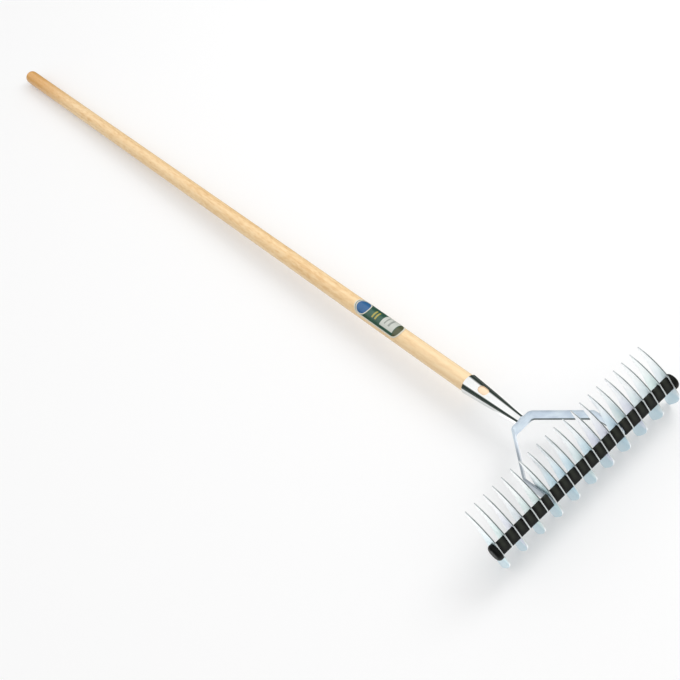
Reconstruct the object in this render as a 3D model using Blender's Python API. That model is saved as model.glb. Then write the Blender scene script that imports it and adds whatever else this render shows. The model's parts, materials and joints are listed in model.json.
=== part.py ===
"""Dethatching rake: a wooden handle in a steel socket, a bent strap yoke and a row of thin blades.

Units are metres. The rake is modelled in its head's own frame: X runs along the row of blades, Y from
the rod towards the handle, and Z the way the tines point. It is then tipped back about X until the
long tails and the handle's end both stand on the ground, with the tines up.
"""

import math

import bmesh
import bpy
from mathutils import Matrix, Vector
from mathutils.geometry import interpolate_bezier

# Clearance between two pieces that touch
FIT_GAP = 0.0003

# Handle
HANDLE_LENGTH = 1.550
HANDLE_DIAMETER = 0.0285
HANDLE_END_ROUNDING = 0.008
HANDLE_TILT = math.radians(5.0)
HANDLE_OFF_MIDDLE = 0.0022

# Label glued on the side of the handle that faces the way the tines point
LABEL_FROM_FERRULE = 0.1474
LABEL_LENGTH = 0.113
LABEL_WIDTH = 0.0336
LABEL_THICKNESS = 0.0003

# Ferrule: the tapered socket that holds the handle
FERRULE_LENGTH = 0.1115
FERRULE_WALL = 0.0013
FERRULE_TAIL_DIAMETER = 0.0148
FERRULE_TAIL_SOLID = 0.012
FERRULE_SEAT_DEPTH = 0.0713
FERRULE_SLOT_LENGTH = 0.0185
FERRULE_SLOT_WIDTH = 0.0126
FERRULE_SLOT_FROM_MOUTH = 0.0341
WELD_SIZE = 0.0022

# Nail through the ferrule into the handle
NAIL_FROM_MOUTH = 0.018
NAIL_DIAMETER = 0.0026
NAIL_LENGTH = 0.016
NAIL_HEAD_DIAMETER = 0.0055
NAIL_HEAD_THICKNESS = 0.0012

# Yoke: one flat strap, bent to carry the row of blades
YOKE_WIDTH = 0.0185
YOKE_THICKNESS = 0.003
YOKE_CROWN_HALF = 0.0177
YOKE_DEPTH = 0.1216
YOKE_TAB_LENGTH = 0.0470
YOKE_BEND_RADIUS = 0.009
YOKE_END_SET_BACK = 0.003
YOKE_TILT = math.radians(-9.6)

# Row of blades
BLADE_COUNT = 21
BLADES_IN_YOKE = 9
BLADE_PITCH = 0.01675
BLADE_THICKNESS = 0.0016
BLADE_PROUD = 0.0003

# Straight outer edge that the blades and spacers share where they cross the rod
FACE_HEADING = math.radians(57.0)
FACE_FROM_ROD = 0.00836
FACE_RISE = 0.0140
FACE_FALL = 0.0056

# Blade outline: the tine's tip, and the belly that faces the handle
TINE_REACH = 0.0520
TINE_RISE = 0.0412
TINE_TIP_RADIUS = 0.0006
TINE_BACK_HEADING = math.radians(4.5)
TINE_BACK_LEAVE = 0.44
TINE_BACK_ARRIVE = 0.08
TINE_EDGE_HEADING = math.radians(238.7)
TINE_EDGE_FULLNESS = 0.66
BELLY_REACH = 0.0200
BELLY_DROP = 0.0128
BELLY_HEADING = math.radians(246.2)
BELLY_FULLNESS = 1.0

# Blade outline: the long tail with its lobe, and the short tail
LONG_TAIL_REACH = 0.0023
LONG_TAIL_DROP = 0.0528
LONG_TAIL_RADIUS = 0.0045
LONG_TAIL_HEADING = math.radians(307.0)
LOBE_REACH = 0.0180
LOBE_DROP = 0.0158
LOBE_LEAVE = 0.7
LOBE_ARRIVE = 0.15
SHORT_TAIL_DROP = 0.0308
SHORT_TAIL_RADIUS = 0.0070
SHORT_TAIL_ANGLE = math.radians(203.5)

# Rod, spacers, washers, nuts and end caps
ROD_DIAMETER = 0.008
ROD_PAST_NUT = 0.0006
SPACER_DIAMETER = 0.0187
SPACER_NOSE_REACH = 0.0167
SPACER_NOSE_ROUNDING = 0.0028
WASHER_DIAMETER = 0.016
WASHER_THICKNESS = 0.0010
NUT_ACROSS_FLATS = 0.013
NUT_HEIGHT = 0.004
CAP_DIAMETER = 0.0246
CAP_END_WALL = 0.0020
CAP_ROUNDING = 0.0048

# Sides of the round pieces, and steps and fullness of the curves
HANDLE_SIDES = 40
BAR_SIDES = 28
ROD_SIDES = 16
LABEL_STRIPS = 16
CURVE_STEPS = 9
CURVE_FULLNESS = 0.33

# Colour, metallic share and roughness of each finish
FINISHES = {
    "wood": ((0.86, 0.64, 0.38), 0.0, 0.45),
    "label": ((0.05, 0.16, 0.08), 0.0, 0.55),
    "chrome": ((0.80, 0.81, 0.82), 1.0, 0.12),
    "zinc": ((0.66, 0.71, 0.78), 1.0, 0.32),
    "blade_steel": ((0.74, 0.78, 0.84), 1.0, 0.26),
    "black_plastic": ((0.02, 0.02, 0.02), 0.0, 0.42),
    "plain_steel": ((0.45, 0.45, 0.46), 1.0, 0.40),
}

# Values that follow from the sizes above
HANDLE_RADIUS = HANDLE_DIAMETER / 2
ROD_RADIUS = ROD_DIAMETER / 2
ROD_HOLE_RADIUS = ROD_RADIUS + FIT_GAP
BAR_RADIUS = SPACER_DIAMETER / 2
FERRULE_MOUTH_RADIUS = HANDLE_RADIUS + FIT_GAP + FERRULE_WALL
FERRULE_TAIL_RADIUS = FERRULE_TAIL_DIAMETER / 2
HANDLE_REACH = FERRULE_LENGTH - FERRULE_SEAT_DEPTH + HANDLE_LENGTH
FERRULE_SLOPE = (FERRULE_MOUTH_RADIUS - FERRULE_TAIL_RADIUS) / FERRULE_LENGTH
CROWN_FACE = YOKE_DEPTH + YOKE_THICKNESS / 2
YOKE_SPAN_HALF = (
    (BLADES_IN_YOKE - 1) / 2 * BLADE_PITCH + BLADE_THICKNESS / 2 + FIT_GAP + YOKE_THICKNESS / 2
)
BLADES_LEFT_OF_YOKE = (BLADE_COUNT - BLADES_IN_YOKE) // 2

# An outline's first and second coordinate become Y and Z, and its thickness runs along X
SIDE_ON = Matrix(((0, 0, 1, 0), (1, 0, 0, 0), (0, 1, 0, 0), (0, 0, 0, 1)))


def clear_scene():
    """Remove every object that the file opened with."""
    for old in list(bpy.data.objects):
        bpy.data.objects.remove(old, do_unlink=True)


def finish_material(name):
    """Return the Principled material of one finish, made on first use."""
    material = bpy.data.materials.get(name)
    if material is None:
        colour, metallic, roughness = FINISHES[name]
        material = bpy.data.materials.new(name)
        material.use_nodes = True
        shader = material.node_tree.nodes["Principled BSDF"]
        shader.inputs["Base Color"].default_value = (*colour, 1.0)
        shader.inputs["Metallic"].default_value = metallic
        shader.inputs["Roughness"].default_value = roughness
    return material


def new_object(name, mesh, finish, parent):
    """Make an object from a mesh, dress it, shade its round faces smooth and hang it on its parent."""
    if not mesh.materials:
        mesh.materials.append(finish_material(finish))
        mesh.shade_smooth()
        mesh.set_sharp_from_angle(angle=math.radians(25))
    made = bpy.data.objects.new(name, mesh)
    bpy.context.scene.collection.objects.link(made)
    made.parent = parent
    return made


def mesh_from(name, shape, place):
    """Turn a finished bmesh into a mesh in its place, with all faces pointing outwards."""
    bmesh.ops.remove_doubles(shape, verts=shape.verts, dist=1e-7)
    bmesh.ops.transform(shape, matrix=place, verts=shape.verts)
    bmesh.ops.recalc_face_normals(shape, faces=shape.faces)
    mesh = bpy.data.meshes.new(name)
    shape.to_mesh(mesh)
    shape.free()
    return mesh


def turned(name, profile, sides, place):
    """Turn a profile of (radius, height) points about Z. It closes on the axis, or on itself."""
    shape = bmesh.new()
    points = [shape.verts.new((radius, 0.0, height)) for radius, height in profile]
    edges = [shape.edges.new(pair) for pair in zip(points, points[1:])]
    if profile[0][0] > 0.0:
        edges.append(shape.edges.new((points[-1], points[0])))
    bmesh.ops.spin(
        shape,
        geom=points + edges,
        cent=(0.0, 0.0, 0.0),
        axis=(0.0, 0.0, 1.0),
        angle=2 * math.pi,
        steps=sides,
        use_merge=True,
    )
    return mesh_from(name, shape, place)


def slab(outline, holes, low, high):
    """Extrude an outline with holes from low to high along Z, and return it as a bmesh."""
    shape = bmesh.new()
    edges = []
    for loop in [outline, *holes]:
        corners = [shape.verts.new((a, b, low)) for a, b in loop]
        edges += [shape.edges.new(pair) for pair in zip(corners, corners[1:] + corners[:1])]
    bmesh.ops.triangle_fill(shape, use_beauty=True, use_dissolve=False, edges=edges)
    grown = bmesh.ops.extrude_face_region(shape, geom=list(shape.faces))
    lifted = [item for item in grown["geom"] if isinstance(item, bmesh.types.BMVert)]
    bmesh.ops.translate(shape, verts=lifted, vec=(0.0, 0.0, high - low))
    return shape


def plate(name, outline, holes, low, high, place):
    """Make the mesh of an outline with holes, extruded from low to high along its Z and placed."""
    return mesh_from(name, slab(outline, holes, low, high), place)


def arc(centre, radius, start, end, steps):
    """Return the points of an arc from one angle to another, both included."""
    angles = (start + (end - start) * step / steps for step in range(steps + 1))
    return [(centre[0] + radius * math.cos(a), centre[1] + radius * math.sin(a)) for a in angles]


def circle(radius, sides):
    """Return the points of a circle about the origin."""
    return arc((0.0, 0.0), radius, 0.0, 2 * math.pi, sides)[:-1]


def stadium(length, width, steps):
    """Return an outline with round ends, centred on the origin, with its length along Y."""
    upper = arc((0.0, (length - width) / 2), width / 2, 0.0, math.pi, steps)
    return upper + [(-x, -y) for x, y in upper]


def curve(start, start_heading, end, end_heading, leave=CURVE_FULLNESS, arrive=CURVE_FULLNESS):
    """Return a smooth stretch of outline from one point and heading to another, both included.

    leave and arrive say how far each heading holds, as shares of the distance between the points.
    """
    start, end = Vector((*start, 0.0)), Vector((*end, 0.0))
    reach = (end - start).length
    first = start + leave * reach * Vector((math.cos(start_heading), math.sin(start_heading), 0.0))
    last = end - arrive * reach * Vector((math.cos(end_heading), math.sin(end_heading), 0.0))
    return [(point.x, point.y) for point in interpolate_bezier(start, first, last, end, CURVE_STEPS)]


def cut(target, tool, operation="DIFFERENCE"):
    """Add an exact Boolean to a piece and keep its tool out of the model."""
    tool.hide_render = True
    tool.display_type = "WIRE"
    modifier = target.modifiers.new(tool.name, "BOOLEAN")
    modifier.operation = operation
    modifier.solver = "EXACT"
    modifier.object = tool


def yoke_plane():
    """Return the matrix that turns the yoke's own flat frame about the rod, away from the tines."""
    return Matrix.Rotation(YOKE_TILT, 4, "X")


def handle_axis(height=0.0):
    """Return the matrix that lays Z along the handle's axis, at a height above the yoke's crown.

    The handle's tilt is measured from the yoke's plane. The ferrule is welded a little off the
    middle of the crown, and the handle swings back so that its far end is in the middle. The Y of
    that frame points away from the tines, and its X is about the row's X.
    """
    foot = yoke_plane() @ Matrix.Translation((HANDLE_OFF_MIDDLE, YOKE_DEPTH, 0.0))
    swing = Matrix.Rotation(math.atan(HANDLE_OFF_MIDDLE / HANDLE_REACH), 4, "Z")
    lean = Matrix.Rotation(HANDLE_TILT - math.pi / 2, 4, "X")
    return foot @ swing @ lean @ Matrix.Translation((0.0, 0.0, height))


def ferrule_radius(height):
    """Return the ferrule's outer radius at a height along the handle's axis."""
    return FERRULE_TAIL_RADIUS + FERRULE_SLOPE * height


def make_crown_cutter(parent):
    """Make the block that trims whatever stands on the crown flush with the strap's outer face."""
    reach = 2 * FERRULE_MOUTH_RADIUS
    square = [(-reach, -reach), (reach, -reach), (reach, reach), (-reach, reach)]
    place = yoke_plane() @ Matrix.Rotation(-math.pi / 2, 4, "X")
    block = plate("crown_cutter", square, [], 0.0, CROWN_FACE + FIT_GAP, place)
    return new_object("crown_cutter", block, "plain_steel", parent)


def make_handle(parent):
    """Make the wooden handle: its foot tapers into the ferrule and its far end is rounded."""
    foot = FERRULE_LENGTH - FERRULE_SEAT_DEPTH
    foot_radius = ferrule_radius(foot) - FERRULE_WALL - FIT_GAP
    top = foot + HANDLE_LENGTH
    corner = (HANDLE_RADIUS - HANDLE_END_ROUNDING, top - HANDLE_END_ROUNDING)
    rounding = arc(corner, HANDLE_END_ROUNDING, 0.0, math.pi / 2, 5)
    profile = [(0.0, foot), (foot_radius, foot), (HANDLE_RADIUS, FERRULE_LENGTH), *rounding, (0.0, top)]
    mesh = turned("handle", profile, HANDLE_SIDES, handle_axis())
    return new_object("handle", mesh, "wood", parent)


def make_label(parent):
    """Make the label: a thin sheet with round ends, laid flat, cut into strips and wrapped."""
    inner = HANDLE_RADIUS + FIT_GAP
    shape = slab(stadium(LABEL_LENGTH, LABEL_WIDTH, LABEL_STRIPS), [], 0.0, LABEL_THICKNESS)
    for strip in range(1, LABEL_STRIPS):
        seam = LABEL_WIDTH * (strip / LABEL_STRIPS - 0.5)
        everything = list(shape.verts) + list(shape.edges) + list(shape.faces)
        bmesh.ops.bisect_plane(shape, geom=everything, plane_co=(seam, 0, 0), plane_no=(1, 0, 0))
    bmesh.ops.triangulate(shape, faces=shape.faces)
    for point in shape.verts:
        turn = point.co.x / inner
        radius = inner + point.co.z
        point.co = (radius * math.sin(turn), -radius * math.cos(turn), point.co.y)
    middle = FERRULE_LENGTH + LABEL_FROM_FERRULE + LABEL_LENGTH / 2
    mesh = mesh_from("handle_label", shape, handle_axis(middle))
    return new_object("handle_label", mesh, "label", parent)


def make_ferrule(parent, crown_cutter):
    """Make the ferrule: a thin cone with a solid tail and an oval slot that faces as the tines do."""
    mouth_bore = FERRULE_MOUTH_RADIUS - FERRULE_WALL
    tail_bore = ferrule_radius(FERRULE_TAIL_SOLID) - FERRULE_WALL
    profile = [
        (0.0, 0.0),
        (FERRULE_TAIL_RADIUS, 0.0),
        (FERRULE_MOUTH_RADIUS, FERRULE_LENGTH),
        (mouth_bore, FERRULE_LENGTH),
        (tail_bore, FERRULE_TAIL_SOLID),
        (0.0, FERRULE_TAIL_SOLID),
    ]
    cone = turned("ferrule", profile, HANDLE_SIDES, handle_axis())
    ferrule = new_object("ferrule", cone, "chrome", parent)
    cut(ferrule, crown_cutter)
    outline = stadium(FERRULE_SLOT_LENGTH, FERRULE_SLOT_WIDTH, ROD_SIDES // 2)
    place = handle_axis(FERRULE_LENGTH - FERRULE_SLOT_FROM_MOUTH) @ Matrix.Rotation(math.pi / 2, 4, "X")
    slot = plate("ferrule_slot_cutter", outline, [], 0.0, 2 * FERRULE_MOUTH_RADIUS, place)
    cut(ferrule, new_object("ferrule_slot_cutter", slot, "plain_steel", parent))
    return ferrule


def make_weld(parent, crown_cutter):
    """Make the weld: a fillet that runs round the ferrule's tail on the crown's outer face."""
    toe = CROWN_FACE - YOKE_DEPTH + FERRULE_TAIL_DIAMETER * math.tan(abs(HANDLE_TILT))
    top = toe + WELD_SIZE
    bore_low = ferrule_radius(0.0) + FIT_GAP
    bore_high = ferrule_radius(top) + FIT_GAP
    profile = [(bore_low, 0.0), (bore_high + WELD_SIZE, 0.0), (bore_high + WELD_SIZE, toe), (bore_high, top)]
    ring = turned("ferrule_weld", profile, BAR_SIDES, handle_axis())
    weld = new_object("ferrule_weld", ring, "zinc", parent)
    cut(weld, crown_cutter)
    return weld


def make_nail(parent, handle, ferrule):
    """Make the nail on the side away from the tines, and drill its holes."""
    height = FERRULE_LENGTH - NAIL_FROM_MOUTH
    place = handle_axis(height) @ Matrix.Rotation(-math.pi / 2, 4, "X")
    shank, head = NAIL_DIAMETER / 2, NAIL_HEAD_DIAMETER / 2
    seat = ferrule_radius(height + head) + FIT_GAP
    top = seat + NAIL_HEAD_THICKNESS
    point = top - NAIL_LENGTH
    profile = [(0.0, point), (shank, point + NAIL_DIAMETER), (shank, seat), (head, seat), (head, top), (0.0, top)]
    body = turned("ferrule_nail", profile, ROD_SIDES, place)
    bore = circle(shank + FIT_GAP, ROD_SIDES)
    hole = plate("nail_hole_cutter", bore, [], point - FIT_GAP, top, place)
    drill = new_object("nail_hole_cutter", hole, "plain_steel", parent)
    cut(handle, drill)
    cut(ferrule, drill)
    return new_object("ferrule_nail", body, "plain_steel", parent)


def rounded_corner(before, corner, after, radius, steps=4):
    """Return the points that round one corner of a path with an arc tangent to both sides."""
    before, corner, after = Vector(before), Vector(corner), Vector(after)
    to_before = (before - corner).normalized()
    to_after = (after - corner).normalized()
    half = to_before.angle(to_after) / 2
    centre = corner + (to_before + to_after).normalized() * (radius / math.sin(half))
    first = corner + to_before * (radius / math.tan(half)) - centre
    last = corner + to_after * (radius / math.tan(half)) - centre
    turn = math.atan2(first.cross(last), first.dot(last))
    spokes = (Matrix.Rotation(turn * step / steps, 2) @ first for step in range(steps + 1))
    return [tuple(centre + spoke) for spoke in spokes]


def yoke_edge(offset):
    """Return one edge of the strap seen from above, at an offset outwards from its middle line."""
    splay = math.atan2(YOKE_DEPTH - YOKE_TAB_LENGTH, YOKE_SPAN_HALF - YOKE_CROWN_HALF)
    side = YOKE_SPAN_HALF + offset
    crown_half = YOKE_CROWN_HALF + offset * math.tan(splay / 2)
    shoulder = YOKE_TAB_LENGTH + offset * math.tan((math.pi / 2 - splay) / 2)
    right = [(side, -YOKE_WIDTH), (side, shoulder), (crown_half, YOKE_DEPTH + offset)]
    path = right + [(-x, y) for x, y in reversed(right)]
    points = [path[0]]
    for before, corner, after in zip(path, path[1:], path[2:]):
        points += rounded_corner(before, corner, after, YOKE_BEND_RADIUS + offset)
    return points + [path[-1]]


def make_yoke(parent):
    """Make the yoke: a strap bent at four corners, with round ends and a rod hole in each."""
    half = YOKE_THICKNESS / 2
    outline = yoke_edge(half) + list(reversed(yoke_edge(-half)))
    strap = plate("yoke", outline, [], -YOKE_WIDTH / 2, YOKE_WIDTH / 2, yoke_plane())
    yoke = new_object("yoke", strap, "zinc", parent)
    past_crown = YOKE_DEPTH + YOKE_WIDTH
    past_edge = YOKE_WIDTH / 2 + YOKE_THICKNESS
    round_end = arc((YOKE_END_SET_BACK, 0.0), YOKE_WIDTH / 2, math.pi / 2, 3 * math.pi / 2, 12)
    tab = [(YOKE_END_SET_BACK, past_edge), *round_end, (YOKE_END_SET_BACK, -past_edge)]
    side = [*tab, (past_crown, -past_edge), (past_crown, past_edge)]
    reach = YOKE_SPAN_HALF + YOKE_THICKNESS
    hole = circle(ROD_HOLE_RADIUS, ROD_SIDES)
    profile = plate("yoke_side_cutter", side, [hole], -reach, reach, yoke_plane() @ SIDE_ON)
    cut(yoke, new_object("yoke_side_cutter", profile, "zinc", parent), "INTERSECT")
    return yoke


def face_point(along, offset=FACE_FROM_ROD):
    """Return a point of the straight outer edge, at a distance along it from its nearest to the rod."""
    ahead, up = math.cos(FACE_HEADING), math.sin(FACE_HEADING)
    return (along * ahead - offset * up, along * up + offset * ahead)


def blade_outline(back_of_tail, tail_centre, tail_radius, tail_heading):
    """Return a blade's outline, with Y first and Z second, counter-clockwise from its belly.

    The belly edge runs up to the tine's tip, and the back edge down to the straight face that crosses
    the rod. From the face's low end back_of_tail reaches the tail's round end on its heading, and
    the inside then closes the outline.
    """
    belly = (BELLY_REACH, -BELLY_DROP)
    up_belly = BELLY_HEADING - math.pi
    up_edge = TINE_EDGE_HEADING - math.pi
    off_tip = TINE_BACK_HEADING + math.pi
    down_face = FACE_HEADING + math.pi
    right_turn = math.pi / 2
    tip = (TINE_REACH - TINE_TIP_RADIUS, TINE_RISE - TINE_TIP_RADIUS)
    tip_end = arc(tip, TINE_TIP_RADIUS, up_edge - right_turn, off_tip - right_turn, 3)
    edge = curve(belly, up_belly, tip_end[0], up_edge, BELLY_FULLNESS, TINE_EDGE_FULLNESS)
    face_top, face_foot = face_point(FACE_RISE), back_of_tail[0]
    back = curve(tip_end[-1], off_tip, face_top, down_face, TINE_BACK_LEAVE, TINE_BACK_ARRIVE)
    tail_end = arc(tail_centre, tail_radius, tail_heading - right_turn, up_belly - right_turn, 6)
    inside = curve(tail_end[-1], up_belly, belly, up_belly)
    parts = [edge, tip_end, back, [face_top, face_foot], back_of_tail, tail_end, inside]
    return [point for part in parts for point in part[1:]]


def long_outline():
    """Return the outline of a blade whose back swells into a lobe and ends in a long tail."""
    centre = (LONG_TAIL_REACH, LONG_TAIL_RADIUS - LONG_TAIL_DROP)
    heading = LONG_TAIL_HEADING - 2 * math.pi
    end = arc(centre, LONG_TAIL_RADIUS, heading - math.pi / 2, 0.0, 1)[0]
    lobe = (-LOBE_REACH, -LOBE_DROP)
    waist = curve(face_point(-FACE_FALL), FACE_HEADING + math.pi, lobe, -math.pi / 2, LOBE_LEAVE, LOBE_ARRIVE)
    back = curve(lobe, -math.pi / 2, end, heading)
    return blade_outline(waist + back[1:], centre, LONG_TAIL_RADIUS, heading)


def short_outline():
    """Return the outline of a blade whose back runs straight off the bar to a short tail."""
    drop = SHORT_TAIL_DROP - SHORT_TAIL_RADIUS
    inset = BAR_RADIUS - SHORT_TAIL_RADIUS
    reach = (inset + drop * math.sin(SHORT_TAIL_ANGLE)) / math.cos(SHORT_TAIL_ANGLE)
    heading = SHORT_TAIL_ANGLE + math.pi / 2 - 2 * math.pi
    centre = (reach, -drop)
    end = arc(centre, SHORT_TAIL_RADIUS, heading - math.pi / 2, 0.0, 1)[0]
    return blade_outline([face_point(-FACE_FALL), end], centre, SHORT_TAIL_RADIUS, heading)


def spacer_outline():
    """Return a spacer's section: round about the rod, with a flat face that runs up to a nose."""
    offset = FACE_FROM_ROD - BLADE_PROUD
    foot = Vector(face_point(-math.sqrt(BAR_RADIUS**2 - offset**2), offset))
    nose = Vector(face_point(SPACER_NOSE_REACH, offset))
    side_angle = math.atan2(nose.y, nose.x) - math.acos(BAR_RADIUS / nose.length)
    foot_angle = math.atan2(foot.y, foot.x) % (2 * math.pi) - 2 * math.pi
    under = arc((0.0, 0.0), BAR_RADIUS, foot_angle, side_angle, 16)
    return under + rounded_corner(under[-1], nose, foot, SPACER_NOSE_ROUNDING)


def blade_centre(number):
    """Return the X of one blade, counted from 1. The yoke is centred on the blades that it holds."""
    return (number - 1 - BLADES_LEFT_OF_YOKE - (BLADES_IN_YOKE - 1) / 2) * BLADE_PITCH


def make_blades(parent):
    """Make the blades: long tails on the odd ones, short tails on the even ones."""
    half = BLADE_THICKNESS / 2
    hole = circle(ROD_HOLE_RADIUS, ROD_SIDES)
    meshes = [
        plate("blade_short", short_outline(), [hole], -half, half, SIDE_ON),
        plate("blade_long", long_outline(), [hole], -half, half, SIDE_ON),
    ]
    blades = []
    for number in range(1, BLADE_COUNT + 1):
        blade = new_object(f"blade_{number:02d}", meshes[number % 2], "blade_steel", parent)
        blade.location.x = blade_centre(number)
        blades.append(blade)
    return blades


def make_spacers(parent):
    """Make the spacers that fill the bays between blades. The yoke's tabs shorten two of them."""
    tab_room = YOKE_THICKNESS + FIT_GAP
    section = spacer_outline()
    hole = circle(ROD_HOLE_RADIUS, ROD_SIDES)
    for bay in range(1, BLADE_COUNT):
        low = blade_centre(bay) + BLADE_THICKNESS / 2 + FIT_GAP
        high = blade_centre(bay + 1) - BLADE_THICKNESS / 2 - FIT_GAP
        if bay == BLADES_LEFT_OF_YOKE:
            high -= tab_room
        if bay == BLADES_LEFT_OF_YOKE + BLADES_IN_YOKE:
            low += tab_room
        name = f"spacer_{bay:02d}"
        mesh = plate(name, section, [hole], low, high, SIDE_ON)
        new_object(name, mesh, "black_plastic", parent)


def make_end(side, blade_face, parent):
    """Make the washer, nut and cap at one end of the rod, and return where the rod ends there.

    side is -1 on the left and 1 on the right. blade_face is the distance to the end blade's face.
    """
    name = "left" if side < 0 else "right"
    place = Matrix.Rotation(side * math.pi / 2, 4, "Y")
    hole = circle(ROD_HOLE_RADIUS, ROD_SIDES)
    washer_low = blade_face + FIT_GAP
    washer_high = washer_low + WASHER_THICKNESS
    washer_rim = circle(WASHER_DIAMETER / 2, BAR_SIDES)
    washer = plate(f"{name}_washer", washer_rim, [hole], washer_low, washer_high, place)
    new_object(f"{name}_washer", washer, "plain_steel", parent)
    nut_low = washer_high + FIT_GAP
    nut_high = nut_low + NUT_HEIGHT
    nut_corner = NUT_ACROSS_FLATS / math.sqrt(3)
    nut = plate(f"{name}_nut", circle(nut_corner, 6), [hole], nut_low, nut_high, place)
    new_object(f"{name}_nut", nut, "plain_steel", parent)
    rod_end = nut_high + ROD_PAST_NUT
    bore = max(WASHER_DIAMETER / 2, nut_corner) + FIT_GAP
    rim = CAP_DIAMETER / 2
    floor = rod_end + FIT_GAP
    top = floor + CAP_END_WALL
    dome = arc((rim - CAP_ROUNDING, top - CAP_ROUNDING), CAP_ROUNDING, 0.0, math.pi / 2, 6)
    profile = [(0.0, floor), (bore, floor), (bore, washer_low), (rim, washer_low), *dome, (0.0, top)]
    cap = turned(f"{name}_end_cap", profile, BAR_SIDES, place)
    new_object(f"{name}_end_cap", cap, "black_plastic", parent)
    return side * rod_end


def make_rod(left_end, right_end, parent):
    """Make the rod that runs through every blade, spacer, washer and nut."""
    profile = [(0.0, left_end), (ROD_RADIUS, left_end), (ROD_RADIUS, right_end), (0.0, right_end)]
    mesh = turned("core_rod", profile, ROD_SIDES, Matrix.Rotation(math.pi / 2, 4, "Y"))
    return new_object("core_rod", mesh, "plain_steel", parent)


def lowest(points, tilt):
    """Return how low some (y, z) points reach once they are tipped by an angle about X."""
    return min(y * math.sin(tilt) + z * math.cos(tilt) for y, z in points)


def standing_tilt(front, back):
    """Return the angle about X at which two sets of (y, z) points touch the same ground."""
    small, large = -math.pi / 4, math.pi / 4
    for _ in range(50):
        tilt = (small + large) / 2
        if lowest(back, tilt) < lowest(front, tilt):
            small = tilt
        else:
            large = tilt
    return tilt


def side_points(piece):
    """Return the (y, z) of a piece's points in the frame of its parent."""
    return [(point.co.y, point.co.z) for point in piece.data.vertices]


def stand_on_ground(frame, handle, blade):
    """Tip the rake onto its tails and handle end, and centre its box over the world's origin."""
    frame.rotation_euler.x = standing_tilt(side_points(blade), side_points(handle))
    bpy.context.view_layer.update()
    pieces = [piece for piece in frame.children if not piece.hide_render]
    points = [piece.matrix_world @ vertex.co for piece in pieces for vertex in piece.data.vertices]
    low = Vector([min(point[axis] for point in points) for axis in range(3)])
    high = Vector([max(point[axis] for point in points) for axis in range(3)])
    frame.location = (-(low.x + high.x) / 2, -(low.y + high.y) / 2, -low.z)
    bpy.context.view_layer.update()


def main():
    """Build the whole rake."""
    clear_scene()
    frame = bpy.data.objects.new("rake_frame", None)
    bpy.context.scene.collection.objects.link(frame)
    crown_cutter = make_crown_cutter(frame)
    handle = make_handle(frame)
    ferrule = make_ferrule(frame, crown_cutter)
    make_label(frame)
    make_nail(frame, handle, ferrule)
    make_weld(frame, crown_cutter)
    make_yoke(frame)
    blades = make_blades(frame)
    make_spacers(frame)
    rod_left = make_end(-1, BLADE_THICKNESS / 2 - blade_centre(1), frame)
    rod_right = make_end(1, BLADE_THICKNESS / 2 + blade_centre(BLADE_COUNT), frame)
    make_rod(rod_left, rod_right, frame)
    stand_on_ground(frame, handle, blades[0])


main()
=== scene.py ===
"""Looks of a dethatching rake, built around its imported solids.

The rake lies on its tails and on the end of its handle, with the tines up. Each sub-assembly is a class
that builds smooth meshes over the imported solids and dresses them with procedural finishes.
"""

from __future__ import annotations

import json
import logging
import math
from collections.abc import Iterable, Mapping, Sequence
from dataclasses import dataclass
from enum import Enum
from functools import cached_property
from typing import Any

import bmesh
import bpy
from mathutils import Matrix, Vector
from mathutils.geometry import interpolate_bezier

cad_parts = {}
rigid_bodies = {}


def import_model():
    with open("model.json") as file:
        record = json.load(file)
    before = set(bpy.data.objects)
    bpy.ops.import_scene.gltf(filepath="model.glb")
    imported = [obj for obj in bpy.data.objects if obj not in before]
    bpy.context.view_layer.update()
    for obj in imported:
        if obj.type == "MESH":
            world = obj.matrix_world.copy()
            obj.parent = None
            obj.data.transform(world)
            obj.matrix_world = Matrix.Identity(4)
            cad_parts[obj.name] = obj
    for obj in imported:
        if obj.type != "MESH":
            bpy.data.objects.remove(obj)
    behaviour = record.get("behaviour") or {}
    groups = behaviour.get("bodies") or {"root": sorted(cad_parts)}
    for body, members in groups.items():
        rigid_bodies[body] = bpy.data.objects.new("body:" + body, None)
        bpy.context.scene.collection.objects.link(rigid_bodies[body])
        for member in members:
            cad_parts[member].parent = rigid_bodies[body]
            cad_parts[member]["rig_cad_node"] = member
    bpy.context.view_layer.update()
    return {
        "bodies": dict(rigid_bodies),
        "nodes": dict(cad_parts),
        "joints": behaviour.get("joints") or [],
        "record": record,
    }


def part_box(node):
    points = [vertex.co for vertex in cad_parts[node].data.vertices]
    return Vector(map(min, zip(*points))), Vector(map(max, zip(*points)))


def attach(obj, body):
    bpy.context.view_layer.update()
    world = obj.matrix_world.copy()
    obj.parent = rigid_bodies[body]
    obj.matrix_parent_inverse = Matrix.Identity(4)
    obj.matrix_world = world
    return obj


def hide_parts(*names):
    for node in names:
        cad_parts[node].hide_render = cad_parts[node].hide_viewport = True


LOG = logging.getLogger("rake")
MM = 0.001
ROD_HOLE_RADIUS = 4.3 * MM
CURVE_POINTS = 22
CORNER_STEPS = 12

Point = tuple[float, float]
Colour = tuple[float, float, float]
Object = bpy.types.Object
Mesh = bpy.types.Mesh
Material = bpy.types.Material
Shape = bmesh.types.BMesh


class Slot(Enum):
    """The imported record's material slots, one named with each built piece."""

    WOOD = "wood"
    LABEL = "label"
    CHROME = "chrome"
    ZINC = "zinc"
    BLADE_STEEL = "blade_steel"
    BLACK_PLASTIC = "black_plastic"


class Tail(Enum):
    """The two kinds of blade, by the tail behind the bar."""

    LONG = "long"
    SHORT = "short"


# Nodes and shader maths


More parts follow.
